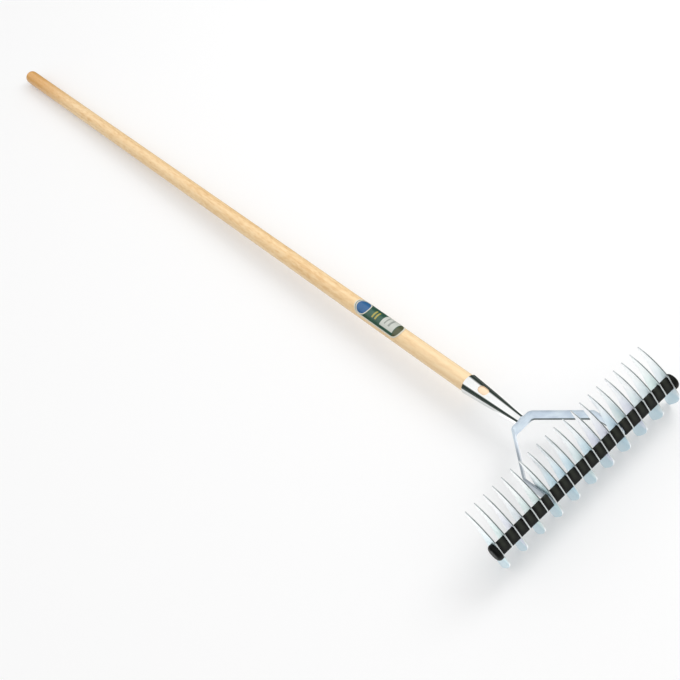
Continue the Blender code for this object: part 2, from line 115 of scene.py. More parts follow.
class Wire:
    """An output socket that can be used in Python expressions."""

    def __init__(self, nodes: NodeMaker, socket: bpy.types.NodeSocket) -> None:
        """Keep the maker and the socket."""
        self.nodes = nodes
        self.socket = socket

    def math(self, operation: str, *others: Wire | float) -> Wire:
        """Add a Math node whose first input is this value.

        Args:
            operation: the node's operation.
            others: its other inputs, in order.

        Returns:
            The node's result.
        """
        inputs = dict(enumerate((self, *others)))
        return self.nodes.wire("ShaderNodeMath", {"operation": operation}, inputs, "Value")

    def __add__(self, other: Wire | float) -> Wire:
        """Add a value, on either side."""
        return self.math("ADD", other)

    def __sub__(self, other: Wire | float) -> Wire:
        """Subtract a value."""
        return self.math("SUBTRACT", other)

    def __rsub__(self, other: float) -> Wire:
        """Subtract from a number."""
        return self * -1.0 + other

    def __mul__(self, other: Wire | float) -> Wire:
        """Multiply by a value, on either side."""
        return self.math("MULTIPLY", other)

    def __truediv__(self, other: Wire | float) -> Wire:
        """Divide by a value."""
        return self.math("DIVIDE", other)

    def __abs__(self) -> Wire:
        """Drop the sign."""
        return self.math("ABSOLUTE")

    __radd__ = __add__
    __rmul__ = __mul__

    def hypot(self, other: Wire) -> Wire:
        """Return the length of a vector that has this part and another."""
        return (self * self + other * other).math("SQRT")

    def step(self, low: float, high: float) -> Wire:
        """Rise smoothly from 0 at low to 1 at high."""
        ranges = {"Value": self, "From Min": low, "From Max": high}
        return self.nodes.wire("ShaderNodeMapRange", {"interpolation_type": "SMOOTHSTEP"}, ranges, "Result")


class NodeMaker:
    """Adds the nodes of one shader or geometry tree."""

    def __init__(self, tree: bpy.types.NodeTree) -> None:
        """Keep the tree."""
        self.tree = tree

    def add(
        self,
        kind: str,
        settings: Mapping[str, Any] | None = None,
        inputs: Mapping[str | int, Any] | None = None,
    ) -> bpy.types.Node:
        """Add one node, set it up and feed its sockets.

        Args:
            kind: the node's type.
            settings: its properties. "stops" gives a colour ramp's (place, colour) pairs.
            inputs: a value, socket or Wire for each input, by name or by number.

        Returns:
            The node.
        """
        node = self.tree.nodes.new(kind)
        for name, value in (settings or {}).items():
            if name == "stops":
                self.set_stops(node.color_ramp, value)
            else:
                setattr(node, name, value)
        for name, value in (inputs or {}).items():
            self.feed(self.find(node.inputs, name), value)
        return node

    def wire(
        self,
        kind: str,
        settings: Mapping[str, Any] | None,
        inputs: Mapping[str | int, Any] | None,
        output: str,
    ) -> Wire:
        """Add one node and return one of its outputs, ready for maths."""
        return Wire(self, self.find(self.add(kind, settings, inputs).outputs, output))

    def feed(self, socket: bpy.types.NodeSocket, value: Any) -> None:
        """Link a socket, or set its value.

        Args:
            socket: an input of a node.
            value: a Wire or an output to link, or a plain value.
        """
        if isinstance(value, Wire):
            value = value.socket
        if isinstance(value, bpy.types.NodeSocket):
            self.tree.links.new(value, socket)
        elif socket.type == "RGBA" and len(value) == 3:
            socket.default_value = (*value, 1.0)
        else:
            socket.default_value = value

    @staticmethod
    def find(sockets: Iterable[bpy.types.NodeSocket], name: str | int) -> bpy.types.NodeSocket:
        """Find a socket that is in use, by its name or its number.

        Args:
            sockets: a node's inputs or outputs.
            name: its name, or its number among those in use, from 0.

        Returns:
            The socket.
        """
        in_use = [socket for socket in sockets if socket.enabled]
        if isinstance(name, int):
            return in_use[name]
        return next(socket for socket in in_use if socket.name == name)

    @staticmethod
    def set_stops(ramp: bpy.types.ColorRamp, stops: Sequence[tuple[float, Colour]]) -> None:
        """Give a colour ramp its stops.

        Args:
            ramp: the ramp.
            stops: the (place, colour) pairs, from low to high.
        """
        while len(ramp.elements) < len(stops):
            ramp.elements.new(0.5)
        for element, (place, colour) in zip(ramp.elements, stops):
            element.position = place
            element.color = (*colour, 1.0)

    def split(self, place: Wire) -> tuple[Wire, Wire, Wire]:
        """Return the three parts of a place."""
        node = self.add("ShaderNodeSeparateXYZ", None, {"Vector": place})
        return tuple(Wire(self, socket) for socket in node.outputs)

    def mix(self, share: Wire, first: Wire | Colour, second: Wire | Colour) -> Wire:
        """Mix two colours."""
        colours = {"Factor": share, "A": first, "B": second}
        return self.wire("ShaderNodeMix", {"data_type": "RGBA"}, colours, "Result")


class Surface(NodeMaker):
    """The node tree of one material, around its Principled shader."""

    def __init__(
        self,
        name: str,
        frame: Matrix | None = None,
        metallic: float = 0.0,
        coat: float = 0.0,
        gloss: float = 0.5,
    ) -> None:
        """Make the material with the values that are the same all over it.

        Args:
            name: the material's name.
            frame: the frame in which its places are measured, or None for the object's own.
            metallic: its metallic share.
            coat: the weight of its clear coat.
            gloss: the level of its clear reflection, 0.5 for a common one.
        """
        self.material = bpy.data.materials.new(name)
        self.material.use_nodes = True
        super().__init__(self.material.node_tree)
        self.shader = self.tree.nodes["Principled BSDF"]
        self.shader.inputs["Metallic"].default_value = metallic
        self.shader.inputs["Coat Weight"].default_value = coat
        self.shader.inputs["Coat Roughness"].default_value = 0.12
        self.shader.inputs["Specular IOR Level"].default_value = gloss
        self.frame = frame

    @cached_property
    def place(self) -> Wire:
        """Return the place of a point of the surface, in the material's frame.

        Returns:
            The place, in metres.
        """
        place = self.wire("ShaderNodeTexCoord", None, None, "Object")
        if self.frame is None:
            return place
        back = self.frame.inverted()
        turned = {"Vector": place, "Rotation": back.to_euler(), "Location": back.translation}
        return self.wire("ShaderNodeMapping", {"vector_type": "POINT"}, turned, "Vector")

    def noise(self, stretch: tuple[float, float, float], detail: float, place: Wire | None = None) -> Wire:
        """Return noise over the surface.

        Args:
            stretch: its grains per metre, in each direction.
            detail: the detail of each grain.
            place: the place that it is read at, where that isn't the surface's own.

        Returns:
            The noise, from 0 to 1.
        """
        scaled = {"Vector": place or self.place, "Scale": stretch}
        vector = self.wire("ShaderNodeMapping", {"vector_type": "POINT"}, scaled, "Vector")
        grains = {"Vector": vector, "Scale": 1.0, "Detail": detail}
        return self.wire("ShaderNodeTexNoise", None, grains, "Fac")

    def ramp(self, share: Wire, *stops: tuple[float, Colour]) -> Wire:
        """Return the colour that a ramp gives for a share."""
        return self.wire("ShaderNodeValToRGB", {"stops": stops}, {"Fac": share}, "Color")

    def give(self, name: str, value: Any) -> None:
        """Feed one socket of the shader."""
        self.feed(self.shader.inputs[name], value)

    def finish(
        self,
        colour: Wire,
        roughness: Wire,
        relief: Wire,
        depth: float,
        strength: float = 1.0,
    ) -> Material:
        """Feed the shader what varies over the surface.

        Args:
            colour: the base colour.
            roughness: the roughness.
            relief: the height of the surface, from 0 to 1.
            depth: how deep the relief is, in metres.
            strength: how strongly it shows.

        Returns:
            The material.
        """
        heights = {"Height": relief, "Distance": depth, "Strength": strength}
        self.give("Base Color", colour)
        self.give("Roughness", roughness)
        self.give("Normal", self.wire("ShaderNodeBump", None, heights, "Normal"))
        return self.material


# Finishes


@dataclass(frozen=True)
class WoodFinish:
    """Lacquered wood, with painted light on the wood in the socket's slot, a pale start and a dark far end.
    """

    along: Matrix
    end: float
    socket: float
    light: Colour = (0.96, 0.71, 0.41)
    middle: Colour = (0.89, 0.615, 0.315)
    dark: Colour = (0.79, 0.50, 0.225)
    painted_slot_light: Colour = (1.0, 0.76, 0.53)
    near_tone: Colour = (1.0, 0.79, 0.51)
    end_tone: Colour = (0.66, 0.29, 0.025)

    def material(self) -> Material:
        """Build the material.

        Returns:
            The material.
        """
        skin = Surface("handle_wood", self.along, coat=0.15)
        broad = skin.noise((70.0, 70.0, 2.2), 3.0)
        streaks = skin.noise((260.0, 260.0, 5.0), 3.0)
        fibres = skin.noise((1500.0, 1500.0, 26.0), 2.0)
        flecks = skin.noise((330.0, 330.0, 70.0), 2.0)
        tone = broad * 0.3 + streaks * 0.3 + flecks * 0.4
        grain = skin.ramp(tone, (0.38, self.dark), (0.48, self.middle), (0.58, self.light))
        height = skin.split(skin.place)[2]
        beyond = height - self.end
        far_share = beyond.step(-280.0 * MM, -10.0 * MM) * 0.75 + beyond.step(-12.0 * MM, 0.0) * 0.2
        near = 1.0 - height.step(100.0 * MM, 550.0 * MM)
        grain = skin.mix(near * 0.45, grain, self.near_tone)
        # Painted light: the wood inside the socket's slot is mixed towards a lighter tone, lifting the
        # shade there.
        grain = skin.mix(height.step(self.socket - MM, self.socket), self.painted_slot_light, grain)
        colour = skin.mix(far_share, grain, self.end_tone)
        return skin.finish(colour, streaks * 0.16 + 0.32, fibres * 0.7 + streaks * 0.3, 0.12 * MM)


@dataclass(frozen=True)
class ChromeFinish:
    """Bright chrome plating with faint polishing lines round the socket."""

    along: Matrix
    colour: Colour = (0.96, 0.97, 0.965)
    haze: Colour = (0.87, 0.89, 0.885)

    def material(self) -> Material:
        """Build the material.

        Returns:
            The material.
        """
        skin = Surface("ferrule_chrome", self.along, metallic=1.0)
        cloud = skin.noise((60.0, 60.0, 30.0), 3.0)
        lines = skin.noise((90.0, 90.0, 1600.0), 1.0)
        colour = skin.mix(cloud.step(0.35, 0.75), self.colour, self.haze)
        return skin.finish(colour, lines * 0.05 + cloud * 0.05 + 0.02, lines, 0.01 * MM, 0.6)


@dataclass(frozen=True)
class ZincFinish:
    """Blue-white zinc plating on bent strap, rolled, with painted shade along its lower edge and on its
    left arm.
    """

    yoke: Matrix
    half_width: float
    colour: Colour = (0.49, 0.57, 0.66)
    pale: Colour = (0.62, 0.70, 0.77)
    shaded: Colour = (0.33, 0.37, 0.41)
    edge: Colour = (0.06, 0.08, 0.08)
    edge_size: float = 4.0 * MM
    roughness: float = 0.26

    def material(self) -> Material:
        """Build the material.

        Returns:
            The material.
        """
        skin = Surface("strap_zinc", self.yoke, metallic=0.85)
        cloud = skin.noise((55.0, 55.0, 80.0), 4.0)
        rolled = skin.noise((40.0, 40.0, 1400.0), 2.0)
        across, _, height = skin.split(skin.place)
        # Painted shade: a dark band along the strap's lower edge, on its right-hand part.
        low = self.edge_size - self.half_width
        lower = (1.0 - height.step(low - 0.3 * MM, low + 0.3 * MM)) * across.step(4.0 * MM, 20.0 * MM)
        plating = skin.mix(cloud.step(0.3, 0.7), self.colour, self.pale)
        # Painted shade: the left arm is mixed towards a darker tone.
        left_arm_shade = 1.0 - across.step(-50.0 * MM, -30.0 * MM)
        plating = skin.mix(left_arm_shade, plating, self.shaded)
        colour = skin.mix(lower, plating, self.edge)
        return skin.finish(colour, rolled * 0.14 + self.roughness, rolled * 0.7 + cloud * 0.3, 0.04 * MM)


@dataclass(frozen=True)
class BladeFinish:
    """Bright plated sheet: the flat sides of the blades, each with a slight cast of its own."""

    head: Matrix
    pitch: float
    blue: Colour = (0.66, 0.87, 0.97)
    mint: Colour = (0.80, 0.96, 0.92)
    lilac: Colour = (0.83, 0.83, 0.95)
    pale: Colour = (0.975, 0.985, 0.985)
    tail: Colour = (0.45, 0.62, 0.70)

    def material(self) -> Material:
        """Build the material.

        Returns:
            The material.
        """
        skin = Surface("blade_sides", self.head, metallic=0.4)
        across, forward, height = skin.split(skin.place)
        distance = forward.hypot(height)
        number = (across / self.pitch).math("ROUND")
        cast = skin.wire("ShaderNodeTexWhiteNoise", {"noise_dimensions": "1D"}, {"W": number}, "Value")
        cloud = skin.noise((64.0, 40.0, 40.0), 3.0)
        rolled = skin.noise((64.0, 1500.0, 70.0), 2.0)
        sheet = skin.ramp(cast, (0.15, self.blue), (0.5, self.mint), (0.85, self.lilac))
        # Painted sheen: the sides are mixed towards pale away from the rod, with a little random tone from
        # the cloud.
        far_share = distance.step(8.0 * MM, 44.0 * MM) * 0.85 + cloud.step(0.45, 0.7) * 0.15
        sheet = skin.mix(far_share, sheet, self.pale)
        # Painted shade: the tails behind and below the bar are mixed towards a darker blue-grey.
        behind = 1.0 - height.step(-22.0 * MM, -8.0 * MM)
        colour = skin.mix(behind * 0.8, sheet, self.tail)
        return skin.finish(colour, rolled * 0.1 + 0.3, rolled, 0.02 * MM)


@dataclass(frozen=True)
class ShearedFinish:
    """The blades' cut edges: bright over the bar, a painted dark reflection along the tines, a painted
    highlight on the tails.
    """

    head: Matrix
    dark: Colour = (0.13, 0.155, 0.16)
    bright: Colour = (0.66, 0.70, 0.70)
    white: Colour = (0.92, 0.94, 0.95)
    from_rod: float = 17.4 * MM
    blur: float = 1.2 * MM

    def material(self) -> Material:
        """Build the material.

        Returns:
            The material.
        """
        skin = Surface("blade_edges", self.head, metallic=0.6)
        _, forward, height = skin.split(skin.place)
        distance = forward.hypot(height)
        torn = skin.noise((2400.0, 260.0, 260.0), 3.0)
        # Painted reflection: the edges along the tines are darkened, fading towards the tips; the tails'
        # edges get a painted white highlight.
        off_bar = distance.step(self.from_rod - self.blur, self.from_rod + self.blur)
        fading = 1.0 - distance.step(48.0 * MM, 66.0 * MM) * 0.55
        tine_dark_reflection = off_bar * height.step(0.0, 4.0 * MM) * fading
        tail_highlight = 1.0 - height.step(-16.0 * MM, -11.0 * MM)
        cut = skin.mix(tine_dark_reflection, skin.mix(tail_highlight, self.bright, self.white), self.dark)
        colour = skin.mix(torn.step(0.35, 0.7) * 0.25, cut, self.bright)
        return skin.finish(colour, torn * 0.25 + 0.32, torn, 0.06 * MM)


@dataclass(frozen=True)
class PlasticFinish:
    """Black moulded plastic with a satin skin, and a painted sheen on the upper middle of each spacer."""

    head: Matrix
    pitch: float
    degrees: float
    colour: Colour = (0.0045, 0.0052, 0.0045)
    scuff_and_sheen: Colour = (0.026, 0.029, 0.023)

    def material(self, name: str, painted_sheen: float) -> Material:
        """Build the material.

        Args:
            name: its name.
            painted_sheen: the share of the painted sheen on the upper middle of each spacer.

        Returns:
            The material.
        """
        skin = Surface(name, self.head, gloss=0.1)
        across, forward, height = skin.split(skin.place)
        grain = skin.noise((2200.0, 2200.0, 2200.0), 2.0)
        scuffs = skin.noise((140.0, 260.0, 260.0), 4.0)
        bay = (across / self.pitch).math("FRACT")
        # Painted sheen: a lighter patch on the upper middle of each spacer's face, darker towards the
        # blades; random scuffs lie over it.
        middle = 1.0 - abs(bay - 0.5).step(0.05, 0.34)
        way = heading(self.degrees)
        upper = (forward * way.x + height * way.y).step(-6.0 * MM, 6.0 * MM)
        share = middle * upper * painted_sheen + scuffs.step(0.5, 0.8) * 0.3
        colour = skin.mix(share, self.colour, self.scuff_and_sheen)
        return skin.finish(colour, scuffs * 0.2 + 0.38, grain * 0.6 + scuffs * 0.4, 0.05 * MM)


@dataclass(frozen=True)
class SteelFinish:
    """Plain turned steel, for the rod, nuts, washers and nail."""

    colour: Colour = (0.36, 0.36, 0.37)
    pale: Colour = (0.52, 0.52, 0.53)

    def material(self) -> Material:
        """Build the material.

        Returns:
            The material.
        """
        skin = Surface("plain_steel", metallic=1.0)
        cloud = skin.noise((600.0, 600.0, 600.0), 3.0)
        colour = skin.mix(cloud.step(0.3, 0.7), self.colour, self.pale)
        return skin.finish(colour, cloud * 0.2 + 0.3, cloud, 0.03 * MM)


@dataclass(frozen=True)
class LabelFinish:
    """A plain printed label: a roundel, two bars and a bare panel on green. It holds no words."""

    length: float
    width: float
    border: float = 2.4 * MM
    blur: float = 0.25 * MM
    border_blur: float = 0.3 * MM
    rule_radians_per_metre: float = 620.0
    field: Colour = (0.018, 0.075, 0.048)
    field_light: Colour = (0.03, 0.11, 0.07)
    olive: Colour = (0.075, 0.085, 0.035)
    paper: Colour = (0.72, 0.69, 0.58)
    panel: Colour = (0.58, 0.60, 0.55)
    roundel: Colour = (0.020, 0.115, 0.29)
    ochre: Colour = (0.42, 0.36, 0.07)
    rule: Colour = (0.30, 0.32, 0.29)

    def box(self, place: tuple[Wire, Wire], low: Point, high: Point) -> Wire:
        """Return 1 inside a box on the label and 0 outside it.

        Args:
            place: across and along the label, in metres from its middle.
            low: the box's low corner.
            high: the box's high corner.

        Returns:
            The mask.
        """
        blur = self.blur
        mask: Wire | float = 1.0
        for at, below, above in zip(place, low, high):
            mask = mask * at.step(below - blur, below + blur) * (above - at).step(-blur, blur)
        return mask

    def disc(self, place: tuple[Wire, Wire], centre: Point, radius: float) -> Wire:
        """Return 1 inside a disc on the label and 0 outside it."""
        distance = (place[0] - centre[0]).hypot(place[1] - centre[1])
        return (radius - distance).step(-self.blur, self.blur)

    def material(self) -> Material:
        """Build the material, with each layer of print over the one before.

        Returns:
            The material.
        """
        skin = Surface("label_print", coat=0.35)
        sheet = skin.wire("ShaderNodeUVMap", {"uv_map": "label"}, None, "UV")
        u, v, _ = skin.split(sheet)
        across, along = (u - 0.5) * self.width, (v - 0.5) * self.length
        place = (across, along)
        half, straight = self.width / 2, (self.length - self.width) / 2
        past = (abs(along) - straight).math("MAXIMUM", 0.0)
        from_edge = half - across.hypot(past)
        inside = from_edge.step(self.border - self.border_blur, self.border + self.border_blur)
        rules = (along * self.rule_radians_per_metre).math("SINE").step(0.2, 0.5)
        centre = (0.0, straight - 1.5 * MM)
        layers = (
            (self.olive, self.box(place, (-half, -straight - half), (half, -42.5 * MM))),
            (self.panel, self.box(place, (-9.5 * MM, -41.0 * MM), (half, -10.0 * MM))),
            (self.rule, rules * self.box(place, (-4.0 * MM, -36.0 * MM), (11.0 * MM, -17.0 * MM))),
            (self.ochre, self.box(place, (-7.0 * MM, 1.0 * MM), (7.0 * MM, 4.5 * MM))),
            (self.ochre, self.box(place, (-7.0 * MM, 8.0 * MM), (7.0 * MM, 11.5 * MM))),
            (self.paper, self.disc(place, centre, half - 2.2 * MM)),
            (self.roundel, self.disc(place, centre, half - 4.0 * MM)),
        )
        shade = skin.noise((3.0, 5.0, 1.0), 2.0, sheet)
        print_colour = skin.mix(shade.step(0.3, 0.8), self.field, self.field_light)
        for ink, share in layers:
            print_colour = skin.mix(share, print_colour, ink)
        colour = skin.mix(inside, self.paper, print_colour)
        return skin.finish(colour, shade * 0.15 + 0.3, shade, 0.04 * MM)


# Shapes


def arc(centre: Point, radius: float, start: float, end: float, steps: int) -> list[Point]:
    """Return the points of an arc from one angle to another, both included."""
    angles = [start + (end - start) * step / steps for step in range(steps + 1)]
    return [(centre[0] + radius * math.cos(a), centre[1] + radius * math.sin(a)) for a in angles]


def circle(radius: float) -> list[Point]:
    """Return the points of a circle round the origin."""
    return arc((0.0, 0.0), radius, 0.0, 2 * math.pi, 32)[:-1]


def heading(degrees: float) -> Vector:
    """Return the unit vector that points along a heading in the plane."""
    return Vector((math.cos(math.radians(degrees)), math.sin(math.radians(degrees))))


def sweep(
    start: Point,
    leave: tuple[float, float],
    end: Point,
    arrive: tuple[float, float],
) -> list[Point]:
    """Return a smooth stretch of outline.

    Args:
        start: its first point.
        leave: its heading there in degrees, and how far it holds that, as a share of the way to end.
        end: its last point.
        arrive: the same two numbers for its last point.

    Returns:
        The points, both ends included.
    """
    first, last = Vector(start), Vector(end)
    reach = (last - first).length
    out, home = (heading(degrees) * (share * reach) for degrees, share in (leave, arrive))
    knots = (knot.to_3d() for knot in (first, first + out, last - home, last))
    return [(p.x, p.y) for p in interpolate_bezier(*knots, CURVE_POINTS)]


def rounded_corner(before: Point, corner: Point, after: Point, radius: float) -> list[Point]:
    """Return the arc that rounds one corner of a path, tangent to both of its sides.

    Args:
        before: the path's point before the corner.
        corner: the corner.
        after: the path's point after it.
        radius: the arc's radius.

    Returns:
        The arc's points, in the order of the path.
    """
    before_v, corner_v, after_v = Vector(before), Vector(corner), Vector(after)
    to_before = (before_v - corner_v).normalized()
    to_after = (after_v - corner_v).normalized()
    half = to_before.angle(to_after) / 2
    centre = corner_v + (to_before + to_after).normalized() * (radius / math.sin(half))
    first = corner_v + to_before * (radius / math.tan(half)) - centre
    last = corner_v + to_after * (radius / math.tan(half)) - centre
    turn = math.atan2(first.cross(last), first.dot(last))
    turns = (turn * step / CORNER_STEPS for step in range(CORNER_STEPS + 1))
    return [tuple(centre + Matrix.Rotation(angle, 2) @ first) for angle in turns]


def closed(shape: Shape) -> Shape:
    """Merge the doubles of a closed shape and point its faces outwards.

    Args:
        shape: the shape, which is changed.

    Returns:
        The same shape.
    """
    bmesh.ops.remove_doubles(shape, verts=shape.verts, dist=1e-7)
    bmesh.ops.recalc_face_normals(shape, faces=shape.faces)
    return shape


def flat_plate(loops: Sequence[Sequence[Point]]) -> Shape:
    """Fill an outline with holes, as one sheet in the plane.

    Args:
        loops: the outline and the holes, each as its points in order.

    Returns:
        The sheet, at height 0.
    """
    shape = bmesh.new()
    edges = []
    for loop in loops:
        corners = [shape.verts.new((a, b, 0.0)) for a, b in loop]
        edges += [shape.edges.new(pair) for pair in zip(corners, corners[1:] + corners[:1])]
    bmesh.ops.triangle_fill(shape, use_beauty=True, use_dissolve=False, edges=edges, normal=(0, 0, 1))
    return shape


def thick_plate(loops: Sequence[Sequence[Point]], low: float, high: float) -> Shape:
    """Extrude an outline with holes along Z, from one height to another.

    Args:
        loops: the outline and the holes, each as its points in order.
        low: the height of the lower face.
        high: the height of the upper face.

    Returns:
        The closed plate.
    """
    shape = flat_plate(loops)
    grown = bmesh.ops.extrude_face_region(shape, geom=list(shape.faces))
    lifted = [item for item in grown["geom"] if isinstance(item, bmesh.types.BMVert)]
    bmesh.ops.translate(shape, verts=shape.verts, vec=(0.0, 0.0, low))
    bmesh.ops.translate(shape, verts=lifted, vec=(0.0, 0.0, high - low))
    return closed(shape)


def lathe(profile: Sequence[Point], sides: int) -> Shape:
    """Turn a profile of (radius, height) points, which starts and ends on the axis, about Z.

    Args:
        profile: the points, from one end to the other.
        sides: the number of flats round the axis.

    Returns:
        The closed shape.
    """
    shape = bmesh.new()
    points = [shape.verts.new((radius, 0.0, height)) for radius, height in profile]
    edges = [shape.edges.new(pair) for pair in zip(points, points[1:])]
    bmesh.ops.spin(
        shape,
        geom=points + edges,
        cent=(0.0, 0.0, 0.0),
        axis=(0.0, 0.0, 1.0),
        angle=2 * math.pi,
        steps=sides,
        use_merge=True,
    )
    return closed(shape)


def add_object(name: str, mesh: Mesh) -> Object:
    """Put a mesh in the scene as an object at the origin.

    Args:
        name: the object's name.
        mesh: its mesh.

    Returns:
        The object.
    """
    made = bpy.data.objects.new(name, mesh)
    bpy.context.scene.collection.objects.link(made)
    return made


def make_object(name: str, shape: Shape, place: Matrix | None = None) -> Object:
    """Turn a shape into an object at the origin, with its points put in place.

    Args:
        name: the name of the object and of its mesh.
        shape: the shape, which is used up.
        place: where its points go, or None to leave them as they are.

    Returns:
        The object.
    """
    mesh = bpy.data.meshes.new(name)
    shape.to_mesh(mesh)
    shape.free()
    if place is not None:
        mesh.transform(place)
    return add_object(name, mesh)


def remove_object(old: Object) -> None:
    """Take an object out of the file."""
    bpy.data.objects.remove(old, do_unlink=True)


def bake_shape(maker: Object) -> Object:
    """Turn an object with live modifiers into a plain mesh object of the same name.

    Args:
        maker: the object, which is used up.

    Returns:
        The plain object.
    """
    graph = bpy.context.evaluated_depsgraph_get()
    mesh = bpy.data.meshes.new_from_object(maker.evaluated_get(graph))
    name = maker.name
    maker.name = f"{name}_maker"
    remove_object(maker)
    mesh.name = name
    return add_object(name, mesh)


def cut_with(target: Object, tool: Object, operation: str = "DIFFERENCE") -> Object:
    """Cut an object with a tool, which is used up, and return the plain result.

    Args:
        target: the object, which is used up as well.
        tool: the tool.
        operation: the kind of cut.

    Returns:
        The plain object.
    """
    modifier = target.modifiers.new("cut", "BOOLEAN")
    modifier.operation = operation
    modifier.solver = "EXACT"
    modifier.object = tool
    baked = bake_shape(target)
    remove_object(tool)
    return baked


def smooth(target: Object, angle: float = 35.0) -> Object:
    """Shade an object smooth, but for its sharp edges.

    Args:
        target: the object.
        angle: the angle in degrees from which an edge is sharp.

    Returns:
        The same object.
    """
    target.data.shade_smooth()
    target.data.set_sharp_from_angle(angle=math.radians(angle))
    return target


def soften(target: Object, width: float, segments: int = 2) -> Object:
    """Round an object's sharp edges and shade it smooth, and return the plain result.

    Args:
        target: the object, which is used up.
        width: the width of the rounding.
        segments: the number of its facets.

    Returns:
        The plain object.
    """
    crease = 40.0
    bevel = target.modifiers.new("soften", "BEVEL")
    bevel.width = width
    bevel.segments = segments
    bevel.limit_method = "ANGLE"
    bevel.angle_limit = math.radians(crease)
    return smooth(bake_shape(target), crease - 4.0)


def dress(piece: Object, material: Material, slot: Slot, *nodes: str) -> None:
    """Give a piece its material, and let it stand for its CAD nodes.

    Args:
        piece: the finished mesh object.
        material: its material. A piece that already holds materials keeps them.
        slot: the record's slot for the piece; it is not used.
        nodes: the CAD nodes that it replaces.
    """
    if not piece.data.materials:
        piece.data.materials.append(material)
    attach(piece, "root")
    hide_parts(*nodes)
    LOG.info("%s: %d faces, for %s", piece.name, len(piece.data.polygons), ", ".join(nodes))


# Frames of the rake

# The way from the yoke's crown to the handle's far end, and the yoke's tilt against the blades in degrees
HANDLE_REACH = 1590.2 * MM
YOKE_TILT = -9.6


@dataclass(frozen=True)
class RakeFrames:
    """Where the head and the handle lie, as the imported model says.

    The head's frame has its origin on the rod, X along the row of blades, Y towards the handle and Z the
    way the tines point. The yoke's frame is the same, tilted about the rod. The handle's frame has its
    origin at its foot on the yoke's crown and Z along it.
    """

    head: Matrix
    yoke: Matrix
    handle: Matrix
    handle_end: float

    @classmethod
    def read(cls, record: Mapping[str, Any]) -> RakeFrames:
        """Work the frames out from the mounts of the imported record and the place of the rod.

        Args:
            record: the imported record.

        Returns:
            The frames.
        """
        mounts = {mount["name"]: mount for mount in record["mounts"]}
        crown, end = mounts["crown_inner_face"], mounts["handle_end"]
        low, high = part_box("core_rod")
        lift = math.atan2(-crown["axis"][2], -crown["axis"][1])
        rod = Vector((crown["pos_m"][0], (low.y + high.y) / 2, (low.z + high.z) / 2))
        yoke = Matrix.Translation(rod) @ Matrix.Rotation(lift, 4, "X")
        head = Matrix.Translation(rod) @ Matrix.Rotation(lift - math.radians(YOKE_TILT), 4, "X")
        way = Vector(end["axis"]).normalized()
        foot = Vector(end["pos_m"]) - way * HANDLE_REACH
        across = Vector((1.0, 0.0, 0.0)) - way * way.x
        across.normalize()
        turn = Matrix((across, way.cross(across), way)).transposed().to_4x4()
        return cls(head, yoke, Matrix.Translation(foot) @ turn, HANDLE_REACH)


# The head's outline and section, in the head's frame


@dataclass(frozen=True)
class BarFace:
    """The straight edge that blades and spacers share where they cross the rod."""

    degrees: float = 57.0
    from_rod: float = 8.36 * MM
    rise: float = 14.0 * MM
    fall: float = 5.6 * MM

    def at(self, along: float, offset: float | None = None) -> Point:
        """Return a point of the face, at a distance along it from its nearest to the rod.

        Args:
            along: the distance, positive towards the tine.
            offset: the face's distance from the rod, or None for from_rod.

        Returns:
            The point.
        """
        off = self.from_rod if offset is None else offset
        way = heading(self.degrees)
        return (along * way.x - off * way.y, along * way.y + off * way.x)


@dataclass(frozen=True)
class BladeShape:
    """The outline of a blade, with Y first and Z second."""

    face: BarFace
    bar_radius: float
    tip: Point = (52.0 * MM, 41.2 * MM)
    tip_radius: float = 0.6 * MM
    belly: Point = (20.0 * MM, -12.8 * MM)
    belly_heading: float = 66.2
    edge_heading: float = 58.7
    back_heading: float = 184.5
    long_tail: Point = (2.3 * MM, -48.3 * MM)
    long_radius: float = 4.5 * MM
    long_heading: float = -53.0
    lobe: Point = (-18.0 * MM, -15.8 * MM)
    short_drop: float = 23.8 * MM
    short_radius: float = 7.0 * MM
    short_angle: float = 203.5

    def tine(self) -> list[Point]:
        """Return the outline from the belly, over the tip and down the back to the bar's face.

        Returns:
            The points, without the belly itself.
        """
        corner = (self.tip[0] - self.tip_radius, self.tip[1] - self.tip_radius)
        start, end = (math.radians(a - 90.0) for a in (self.edge_heading, self.back_heading))
        tip_end = arc(corner, self.tip_radius, start, end, 6)
        top = self.face.at(self.face.rise)
        edge = sweep(self.belly, (self.belly_heading, 1.0), tip_end[0], (self.edge_heading, 0.66))
        back = sweep(tip_end[-1], (self.back_heading, 0.44), top, (self.face.degrees + 180.0, 0.08))
        return edge[1:] + tip_end[1:] + back[1:]

    def tail(self, kind: Tail) -> list[Point]:
        """Return the outline from the face's low end, round the tail and up to the belly.

        Args:
            kind: the kind of tail.

        Returns:
            The points, with the belly as the last.
        """
        foot = self.face.at(-self.face.fall)
        if kind is Tail.LONG:
            centre, radius, way = self.long_tail, self.long_radius, self.long_heading
        else:
            side = math.radians(self.short_angle)
            inset = self.bar_radius - self.short_radius
            reach = (inset + self.short_drop * math.sin(side)) / math.cos(side)
            centre, radius, way = (reach, -self.short_drop), self.short_radius, self.short_angle - 270.0
        start, stop = math.radians(way - 90.0), math.radians(self.belly_heading - 90.0)
        round_end = arc(centre, radius, start, stop, 16)
        back = [foot]
        if kind is Tail.LONG:
            back = sweep(foot, (self.face.degrees + 180.0, 0.7), self.lobe, (-90.0, 0.15))
            back += sweep(self.lobe, (-90.0, 0.33), round_end[0], (way, 0.33))[1:-1]
        up = (self.belly_heading, 0.33)
        return back + round_end + sweep(round_end[-1], up, self.belly, up)[1:]

    def loops(self, kind: Tail) -> list[list[Point]]:
        """Return the outline and the rod's hole."""
        return [self.tine() + self.tail(kind), circle(ROD_HOLE_RADIUS)]


